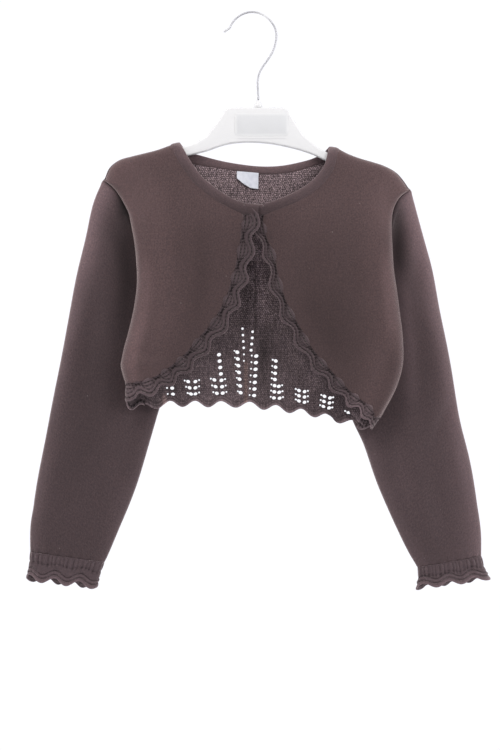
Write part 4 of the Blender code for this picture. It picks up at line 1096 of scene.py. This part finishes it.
# ---------------------------------------------------------------- neckband: a flat tube all round the neck
def front_band(side, steps):
    """The band's lower and upper edge on a front, from the shoulder to its end past the corner."""
    low = along(panels[side][:NECK_ROWS + 1, 0], evenly(steps))
    rim = smooth(NECK_EDGE[side], evenly(steps))
    part = evenly(11)[1:]
    x, y, z = low[-1]
    end_x, end_z = BAND_END[side]
    end = np.stack([x + (end_x - x) * part, np.full(10, y), z + (end_z - z) * part], axis=1)
    high = np.stack([end[:, 0], end[:, 1], end[:, 2] + 10 - part], axis=1)
    return (np.concatenate([low, end]),
            np.concatenate([np.stack([rim[:, 0], low[:, 1], rim[:, 1]], axis=1), high]))


def back_band(steps):
    """The band's lower and upper edge on the back, from the left shoulder to the right one."""
    low, rim = (smooth(table, evenly(2 * steps))[2:-2]
                for table in (BACK_NECK, BACK_NECK_EDGE))
    y = SPLIT + hang_depth(np.interp(low[:, 0], *brow.T) - low[:, 1], BACK_Y)
    return tuple(np.stack([line[:, 0], y, line[:, 1]], axis=1) for line in (low, rim))


def neckband(steps=90, around=24):
    left, middle, right = front_band(-1, steps), back_band(steps), front_band(1, steps)
    path, rim = (np.concatenate([left[k][::-1], middle[k], right[k]]) for k in (0, 1))
    size = np.linalg.norm(rim - path, axis=1)[:, None]
    up = (rim - path) / size
    normal = unit(np.cross(unit(np.gradient(path, axis=0)), up))
    normal = unit(blurred(normal, np.ones(9) / 9))
    angle = 2 * math.pi * np.arange(around) / around
    wide = (0.5 - 0.5 * np.copysign(np.abs(np.cos(angle)) ** 0.8, np.cos(angle)))[None, :, None]
    thick = np.copysign(np.abs(np.sin(angle)) ** 0.75, np.sin(angle))[None, :, None]
    plump = 1.45 * (1 - 0.25 * wide) - 0.45 * groove(wide, 0.12)
    reach = BAND_LAP + (size[:, None] - BAND_LAP) * wide
    grid = path[:, None] + up[:, None] * reach + normal[:, None] * thick * plump
    wide = wide[..., 0]
    in_front = grid[..., 1] < 0
    # painted light over the band, more at its upper edge, on the back and high in front; painted shade in
    # the middle in front
    painted_shading = 0.22 + 0.5 * groove((1 - wide) * 9, 3) + 0.6 * above(grid[..., 1], 1, 3)
    painted_shading = painted_shading - 0.4 * groove(grid[..., 0] - 2, 36) * in_front
    painted_shading = painted_shading + 0.45 * above(grid[..., 2], -158, 22) * in_front
    piece = skin("neckband_knit", grid, (band_knit, band_knit), closed=True,
                 flip=outward(grid, closed=True)[1], grain=grain_of(grid, closed=True), thick=BAND_CLOTH,
                 layers={"shade": 0.08 * groove(wide * 9, 1.2), "painted_shading": painted_shading})
    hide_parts("neckband")
    return piece


band = neckband()


# ---------------------------------------------------------------- sleeves
def lapped(edge, top_z, settle, push_out):
    """A line over an armhole's edge: pushed out at the shoulder, then, within the given drop, back."""
    turned = ease((top_z - edge[:, 2]) / settle)[:, None]
    push = np.array(push_out) * (1 - turned) + np.array([0, 1, 0]) * turned
    return edge + (0.4 + (LAP - 0.4) * turned) * unit(push)


def sleeve_rings(side, half_points):
    """The sleeve's rings of points from the armhole to the cuff, from the outer fold round by the front."""
    f = evenly(half_points + 1)
    share = 0.35 * f + 0.65 * 0.5 * (1 - np.cos(math.pi * f))
    under, top_z = UNDERARM_Z[side], SHOULDER[side][-1][1]
    outer = panels[side][:, -1]
    front_lap = lapped(outer[outer[:, 2] >= under + 3], top_z, 80, (side, 0, -0.3))
    back_edge = edges[side][edges[side][:, 1] >= under + 1][:, [0, 2, 1]]
    tip = np.array([[0.5 * (front_lap[-1][0] + back_edge[-1][0]),
                     0.5 * (front_lap[-1][1] + back_edge[-1][1]) + 1.6, under - 1.5]])
    back_lap = lapped(back_edge, top_z, 14, (side, 0.15, -0.3))
    front_line, back_line = (along(np.concatenate([lap, tip]), share) for lap in (front_lap, back_lap))
    rings = [np.concatenate([front_line, back_line[-2:0:-1]])]
    both = np.concatenate([share, share[-2:0:-1]])
    bulge = (1 - np.abs(2 * both - 1) ** 2.25) ** (1 / 2.25)
    bulge = np.where(np.arange(len(both)) <= half_points, -bulge, bulge)
    for ox, oz, ix, iz, oy, iy, half in SLEEVE[side]:
        rings.append(np.stack([ox + (ix - ox) * both, oy + (iy - oy) * both + half * bulge,
                               oz + (iz - oz) * both], axis=1))
    return np.array(rings)


def sleeve(side, word, half_points=60):
    rings = sleeve_rings(side, half_points)
    knots = np.concatenate([[0], np.cumsum(np.linalg.norm(np.diff(rings, axis=0), axis=2).mean(axis=1))])
    want = knots[-1] * np.concatenate([np.linspace(0, 0.12, 30)[:-1], np.linspace(0.12, 1, 122)])
    grid = between(rings, knots, want)
    n, flip = outward(grid, closed=True)
    x, z = grid[..., 0], grid[..., 2]
    column = np.arange(grid.shape[1])[None, :]
    from_top = want[:, None] * np.ones((1, grid.shape[1]))
    to_cuff = knots[-1] - from_top
    # the creases behind are like those in front, a little lower, wider and softer
    rear = [(h * 0.8, w * 1.15, tuple((a - side * 9, b - 14) for a, b in line))
            for h, w, line in SLEEVE_CREASES[side]]
    fade = ease(from_top / 24) * ease(to_cuff / 16)
    lift = (crease_field(SLEEVE_CREASES[side], x, z) * limit(-n[..., 1])
            + crease_field(rear, x, z) * limit(n[..., 1])) * fade
    lift = lift + 0.4 * ripple(x, z, 9 + side, 17) * fade
    lift = lift + 0.35 * groove(from_top - 3.2, 1.8) - 0.4 * groove(from_top, 1.1)
    # small puckers where the sleeve is gathered into its cuff
    pucker = np.sin(column * 2 * math.pi / grid.shape[1] * 0.5 * CUFF_PLEATS) * np.exp(-to_cuff / 4)
    lift = lift + 0.3 * pucker
    # the underarm seam runs down the inner edge
    lift = lift - 0.3 * groove(column - half_points, 1) * fade
    outer_gap = np.linalg.norm(grid - grid[:, :1], axis=2)
    inner_gap = np.linalg.norm(grid - grid[:, half_points:half_points + 1], axis=2)
    fall = from_top / knots[-1]
    # painted light along the outer fold and low on the inner edge, more on the right sleeve, and the table's
    # painted light and shade; painted shade at the top seam and in the puckers
    painted_shading = (1.75 - 1.1 * ease(fall * 1.5)) * groove(outer_gap, 17 - 5 * ease(fall * 2))
    inner_pale, inner_half = (0.38, 9) if side < 0 else (0.6, 12)
    painted_shading = painted_shading + inner_pale * above(fall, 0.35, 0.3) * groove(inner_gap, inner_half)
    if side > 0:
        painted_shading = painted_shading + 0.32 * above(fall, 0.4, 0.2) * groove(outer_gap - 6, 20) + 0.05
    painted_shading = painted_shading + crease_field(SLEEVE_PAINTED_SHADING[side], x, z)
    shade = 0.7 * groove(from_top, 1) + 0.25 * limit(-pucker)
    grid = grid + n * lift[:, :, None]
    piece = skin("sleeve_" + word + "_knit", grid, (sleeve_knit, purl_knit), closed=True, flip=flip,
                 grain=grain_of(grid, closed=True),
                 layers={"shade": limit(shade), "painted_shading": np.clip(painted_shading, -0.8, 1.9)})
    nodes = ["sleeve_" + word + "_front", "sleeve_" + word + "_back"]
    if side > 0:
        nodes += ["sleeve_right_front_low", "sleeve_right_back_low"]
    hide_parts(*nodes)
    return piece


sleeves = {word: sleeve(side, word) for side, word in SIDES}


# ---------------------------------------------------------------- cuffs
def cuff_loop(wide, half, around):
    """An even flat loop as across and depth, and the way out from it at each point."""
    fine = np.linspace(0, 2 * math.pi, 2881)
    shape_x = 0.5 - 0.5 * np.sign(np.cos(fine)) * np.abs(np.cos(fine)) ** 0.75
    shape_y = -np.sign(np.sin(fine)) * np.abs(np.sin(fine)) ** 0.75
    even = along(np.stack([shape_x * wide, shape_y * half], axis=1), np.arange(around) / around)
    tangent = unit(np.roll(even, -3, axis=0) - np.roll(even, 3, axis=0))
    normal = np.stack([-tangent[:, 1], tangent[:, 0]], axis=1)
    outwards = ((even - np.array([0.5 * wide, 0])) * normal).sum(axis=1)[:, None]
    return even, np.where(outwards < 0, -normal, normal)


def cuff(side, word, rows=46, around=416):
    """A gathered frill: uneven pleats under its seam, two lines and a rib along its scalloped edge."""
    ox, oz, ix, iz, oy, iy, half = SLEEVE[side][-1]
    outer_h, inner_h, outer_lean, inner_lean, flare, swing, start = CUFF[side]
    run = np.array([ix - ox, iz - oz])
    wide = np.linalg.norm(run)
    run = run / wide
    down = side * np.array([-run[1], run[0]])
    even, normal = cuff_loop(wide, half, around)
    turn = 2 * math.pi * np.arange(around) / around
    pleat = np.sin(turn * CUFF_PLEATS + 1.1 * np.sin(turn * 5) + 0.8 * np.sin(turn * 13 + side))
    pleat = pleat * (0.75 + 0.3 * np.sin(turn * 9 + 2 * side) + 0.2 * np.sin(turn * 17))
    rear = ease(0.5 + even[:, 1] / half)
    scallop = np.cos(turn * SCALLOPS - start)
    inward = even[:, 0] / wide
    height = outer_h + (inner_h - outer_h) * inward
    part = np.arange(rows)[:, None] / (rows - 1)
    drop = height * part
    left_of = height - drop
    frill = above(part, 0.3, 0.5)
    gather = groove(drop - 3.6, 4.4)
    line1 = groove(left_of - 3.9, 0.75)
    line2 = groove(left_of - 7.6 + 0.8 * scallop, 0.8)
    out = pleat * (0.55 * gather * ease(drop / 2.5) + 0.12 * frill) - 0.6 * groove(drop - 9.6, 1.3)
    out = out + (flare * part * part + 1.6 * frill * scallop * part + 0.25 * np.exp(-drop / 1.6))
    out = out + (-0.9 * line1 - 0.9 * line2 + 0.5 * groove(left_of - 1, 1.2)
                 + 0.5 * groove(left_of - 5.8, 1.1))
    fall = drop - 0.6 * (1 - part) + part * (swing * scallop + (1.3 + 0.8 * np.abs(scallop)) * rear)
    px = even[:, 0] + normal[:, 0] * out + part * (outer_lean + (inner_lean - outer_lean) * inward)
    grid = np.stack([ox + run[0] * px + down[0] * fall,
                     oy + (iy - oy) * inward + (even[:, 1] + normal[:, 1] * out),
                     oz + run[1] * px + down[1] * fall], axis=2)
    holes = groove(drop - 9.6 - 0.6 * np.sin(turn * 7), 1.6) * limit(0.4 - pleat)
    valley, crest = limit(-pleat) * gather, limit(pleat) * gather
    # painted shade in its lines, holes and the pleats' valleys; painted light and a painted rim highlight
    # along its edge, its middle rib and the pleats' crests; painted light on its inside
    dark = 0.7 * line1 + 0.7 * line2 + 0.65 * holes + 0.4 * valley * ease(drop / 4)
    piece = skin("cuff_" + word + "_knit", grid, (trim_knit, purl_knit), closed=True,
                 flip=outward(grid, closed=True)[1], grain=grain_of(grid, closed=True),
                 layers={"shade": limit(dark), "painted_shading": 0.26 + 0.45 * groove(left_of, 5),
                         "rim": 1.2 * groove(left_of, 1.1) + 0.4 * groove(left_of - 5.8, 1) + 0.3 * crest,
                         "painted_shading_inside": 0.3, "even": 0.6})
    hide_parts("cuff_" + word)
    return piece


cuffs = {word: cuff(side, word) for side, word in SIDES}


# ---------------------------------------------------------------- label
def tape_look():
    tab = Graph("label_tape_weave")
    place = tab.place()
    threads = []
    for direction, scale, distortion in (("Z", 520, 0.6), ("X", 420, 0)):
        weave = tab.add("ShaderNodeTexWave", wave_type="BANDS", bands_direction=direction)
        tab.put(weave.inputs["Vector"], place)
        weave.inputs["Scale"].default_value = scale
        weave.inputs["Distortion"].default_value = distortion
        threads.append(weave.outputs["Fac"])
    thread = tab.times(*threads)
    tone = tab.times(tab.noise(place, (260, 260, 260)), tab.spread(thread, 0, 1, 0.8, 1.2))
    tab.surface({"Base Color": tab.mix(tone, (0.46, 0.48, 0.55), (0.70, 0.71, 0.75)), "Roughness": 0.55})
    tab.bump(thread, 0.3, 0.0002)
    return tab.material


def label_tab(rows=25, cols=29):
    """A small woven tab, sewn along its top, its lower left corner turned under."""
    v = np.arange(rows)[:, None] / (rows - 1)
    u = np.arange(cols)[None, :] / (cols - 1)
    x = LABEL_LEFT + LABEL_WIDTH * u
    z_top = LABEL_TOP - 1.8 * u
    z = z_top + (np.interp(x, *np.array(LABEL_FOOT).T) - z_top) * v
    curl = 1.2 * v * v + 0.5 * np.sin(3 * u + 1.5 * v)
    crease = 0.6 * groove(u - 0.25 - 0.5 * v, 0.12) * v
    grid = np.stack([x - 0.3 * u * v, LABEL_Y - curl - crease, z], axis=2)
    piece = skin("label_tape", grid, (tape_look(),), thick=LABEL_CLOTH)
    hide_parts("label")
    return piece


label = label_tab()


# ---------------------------------------------------------------- hanger
def plastic_look():
    """White plastic with a faint moulded line under the panel."""
    plastic = Graph("white_moulded_plastic")
    place = plastic.place()
    grainy = plastic.noise(place, (900, 900, 900))
    spot = plastic.split(place)
    line_off = plastic.off(spot[2], PLATE_LINE[1] * MM)
    line_end = plastic.off(spot[0], PLATE_LINE[0] * MM)
    line = plastic.times(plastic.spread(line_off, 0.0004, 0.0009, 1, 0),
                         plastic.spread(line_end, 0.022, 0.026, 0.55, 0))
    white = plastic.mix(plastic.noise(place, (12, 12, 12)), (0.635, 0.638, 0.64), (0.67, 0.67, 0.672))
    plastic.surface({"Base Color": plastic.mix(line, white, (0.5, 0.5, 0.51)),
                     "Roughness": plastic.spread(grainy, 0.2, 0.8, 0.3, 0.42)})
    plastic.bump(grainy, 0.08, 0.0002)
    return plastic.material


def panel_look():
    """Pale grey that fades to the white of the plastic at its edge."""
    grey = Graph("grey_panel")
    place = grey.place()
    spot = grey.split(place)
    past = [grey.math("SUBTRACT", grey.off(spot[axis], 0.5 * (a + b) * MM), 0.5 * abs(b - a) * MM)
            for axis, a, b in ((0, PLATE[0], PLATE[2]), (2, PLATE[1], PLATE[3]))]
    edge_fade = grey.spread(grey.math("MAXIMUM", *past), -0.0032, -0.0002, 1, 0)
    cloud = grey.mix(grey.noise(place, (70, 70, 70), 3), (0.545, 0.552, 0.56), (0.575, 0.582, 0.59))
    grey.surface({"Base Color": grey.mix(edge_fade, (0.65, 0.653, 0.655), cloud), "Roughness": 0.5})
    return grey.material


def outline_points(upper, lower, steps):
    """A closed line along an outline's upper side and back along its lower one, corners softened."""
    shares = evenly(steps)
    dense = np.concatenate([along(upper, shares), along(lower, shares)])
    for _ in range(3):
        dense = 0.25 * np.roll(dense, 1, axis=0) + 0.5 * dense + 0.25 * np.roll(dense, -1, axis=0)
    return dense


def moulded(name, outline, half, depth, soft, look, levels=6):
    """A flat moulding: its rim is rounded over by loops that step inwards as they come forward."""
    tangent = unit(np.roll(outline, -1, axis=0) - np.roll(outline, 1, axis=0))
    inward = np.stack([-tangent[:, 1], tangent[:, 0]], axis=1)
    x, z = outline.T
    if np.sum(x * np.roll(z, -1) - np.roll(x, -1) * z) < 0:
        inward = -inward
    count = len(outline)
    loops = []
    for k in range(levels + 1):
        a = math.pi * 0.5 * k / levels
        ring = outline + inward * soft * (1 - math.cos(a))
        loops.append((ring, depth + half - soft + soft * math.sin(a)))
    profile = [(ring, 2 * depth - y) for ring, y in reversed(loops)] + loops
    caps = [(start + i, start + i + 1, start + count - 2 - i, start + count - 1 - i)
            for start in (0, (len(profile) - 1) * count) for i in range(count // 2 - 1)]
    return solid(name, [[(x, y, z) for x, z in ring] for ring, y in profile], caps, look)


plastic = plastic_look()
arch = smooth(HANGER_LOW, evenly(200))
bar = moulded("hanger_moulding", outline_points(HANGER_TOP, arch, 260), 0.5 * HANGER_T, 0,
              HANGER_SOFT, plastic)
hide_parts("hanger")

x0, z0, x1, z1 = PLATE
rounded = []
for corner_x, corner_z, start in ((x0 + PLATE_CORNER, z0 + PLATE_CORNER, 270),
                                  (x0 + PLATE_CORNER, z1 - PLATE_CORNER, 180),
                                  (x1 - PLATE_CORNER, z1 - PLATE_CORNER, 90),
                                  (x1 - PLATE_CORNER, z0 + PLATE_CORNER, 0)):
    for k in range(9):
        a = math.radians(start - 90 * k / 8)
        rounded.append((corner_x + PLATE_CORNER * math.cos(a), corner_z + PLATE_CORNER * math.sin(a)))
panel = moulded("hanger_panel", outline_points(rounded[4:32], rounded[31:] + rounded[:5], 90),
                0.5 * PLATE_T, PLATE_Y, PLATE_SOFT, panel_look(), 3)
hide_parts("hanger_plate")

# ---------------------------------------------------------------- socket and hook
around = np.linspace(0, 2 * math.pi, 41)[:-1]
socket = [[(HOOK_LINE[-1][0] + radius * math.cos(a), radius * math.sin(a), height) for a in around]
          for height, radius in SOCKET]
boss = solid("hook_socket_ring", socket, round_caps(socket), plastic)
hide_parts("hook_socket")


def steel_look():
    metal = Graph("polished_steel")
    drawn = metal.noise(metal.place(), (400, 400, 90), 3)
    dull = metal.mix(drawn, (0.40, 0.40, 0.42), (0.425, 0.425, 0.44))
    # the gleam attribute paints a highlight into the wire's colour
    metal.surface({"Base Color": metal.mix(metal.attribute("gleam"), dull, (0.76, 0.76, 0.76)),
                   "Metallic": 1, "Roughness": metal.spread(drawn, 0.2, 0.8, 0.48, 0.54)})
    return metal.material


def hook_wire(steps=150, around=20):
    """The wire hook, with a small ball at its end and a painted highlight, its gleam, at its top."""
    centre = smooth(HOOK_LINE, evenly(steps))
    tangent = unit(np.gradient(centre, axis=0))
    rings = []
    gleam = []
    for (x, z), (tx, tz), run in zip(centre, tangent, run_along(centre)):
        ball = BALL[0] * math.exp(-((run - BALL[1]) / BALL[2]) ** 2)
        end = math.sqrt(max(0, 1 - (max(0, 0.8 - run) / 0.8) ** 2))
        radius = (0.5 * WIRE + ball) * max(end, 0.15)
        off = math.hypot(x - GLEAM[0], z - GLEAM[1])
        bright = max(math.exp(-off ** 2 / 90), 0.5 * math.exp(-(run / 7) ** 2))
        angles = [2 * math.pi * i / around for i in range(around)]
        rings.append([(x - tz * radius * math.cos(a), radius * math.sin(a), z + tx * radius * math.cos(a))
                      for a in angles])
        gleam += [bright] * around
    piece = solid("hook_wire", rings, round_caps(rings), steel_look(), gleam)
    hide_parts("hook")


hook_wire()


# ---------------------------------------------------------------- room, light and camera
scene = bpy.context.scene
scene.view_settings.view_transform = "Standard"
scene.view_settings.look = "None"
scene.view_settings.exposure = 0
scene.view_settings.gamma = 1

# the room is white behind the garment and beside it, and dimmer in front
world = bpy.data.worlds.new("white_room")
world.use_nodes = True
tree = world.node_tree
tree.nodes["Background"].inputs[0].default_value = ROOM_COLOUR
way = tree.nodes.new("ShaderNodeTexCoord")
axes = tree.nodes.new("ShaderNodeSeparateXYZ")
tree.links.new(way.outputs["Generated"], axes.inputs[0])
wall = tree.nodes.new("ShaderNodeMapRange")
tree.links.new(axes.outputs[1], wall.inputs[0])
for index, value in enumerate((-0.95, -0.05, FRONT_LIGHT, BACK_LIGHT)):
    wall.inputs[index + 1].default_value = value
tree.links.new(wall.outputs[0], tree.nodes["Background"].inputs[1])
scene.world = world

floor_look = Graph("pale_floor")
cloud = floor_look.noise(floor_look.place(), (3, 3, 3), 3)
floor_look.surface({"Base Color": floor_look.mix(cloud, (0.86, 0.86, 0.86), (0.9, 0.9, 0.9)),
                    "Roughness": 0.8})
mesh = bpy.data.meshes.new("floor")
shape = bmesh.new()
bmesh.ops.create_circle(shape, cap_ends=True, segments=96, radius=FLOOR_RADIUS)
shape.to_mesh(mesh)
shape.free()
floor = new_object("floor", mesh, (floor_look.material,))
floor.location = (0, 0, FLOOR_Z)

for name, spot, target, size, power, colour in SOFTBOXES:
    light = bpy.data.lights.new(name, "AREA")
    light.shape = "DISK"
    light.size = size
    light.energy = power
    light.color = colour
    lamp = bpy.data.objects.new(name, light)
    scene.collection.objects.link(lamp)
    lamp.location = spot
    lamp.rotation_euler = Vector(np.subtract(target, spot)).to_track_quat("-Z", "Y").to_euler()

camera = bpy.data.cameras.new("camera")
camera.lens = SENSOR * EYE_AWAY / VIEW_TALL
camera.sensor_width = SENSOR
camera.clip_start = 0.05
camera.clip_end = 50
eye = bpy.data.objects.new("camera", camera)
eye.location = (EYE_X, -EYE_AWAY, EYE_Z)
eye.rotation_euler = (math.radians(90), 0, 0)
scene.collection.objects.link(eye)
scene.camera = eye
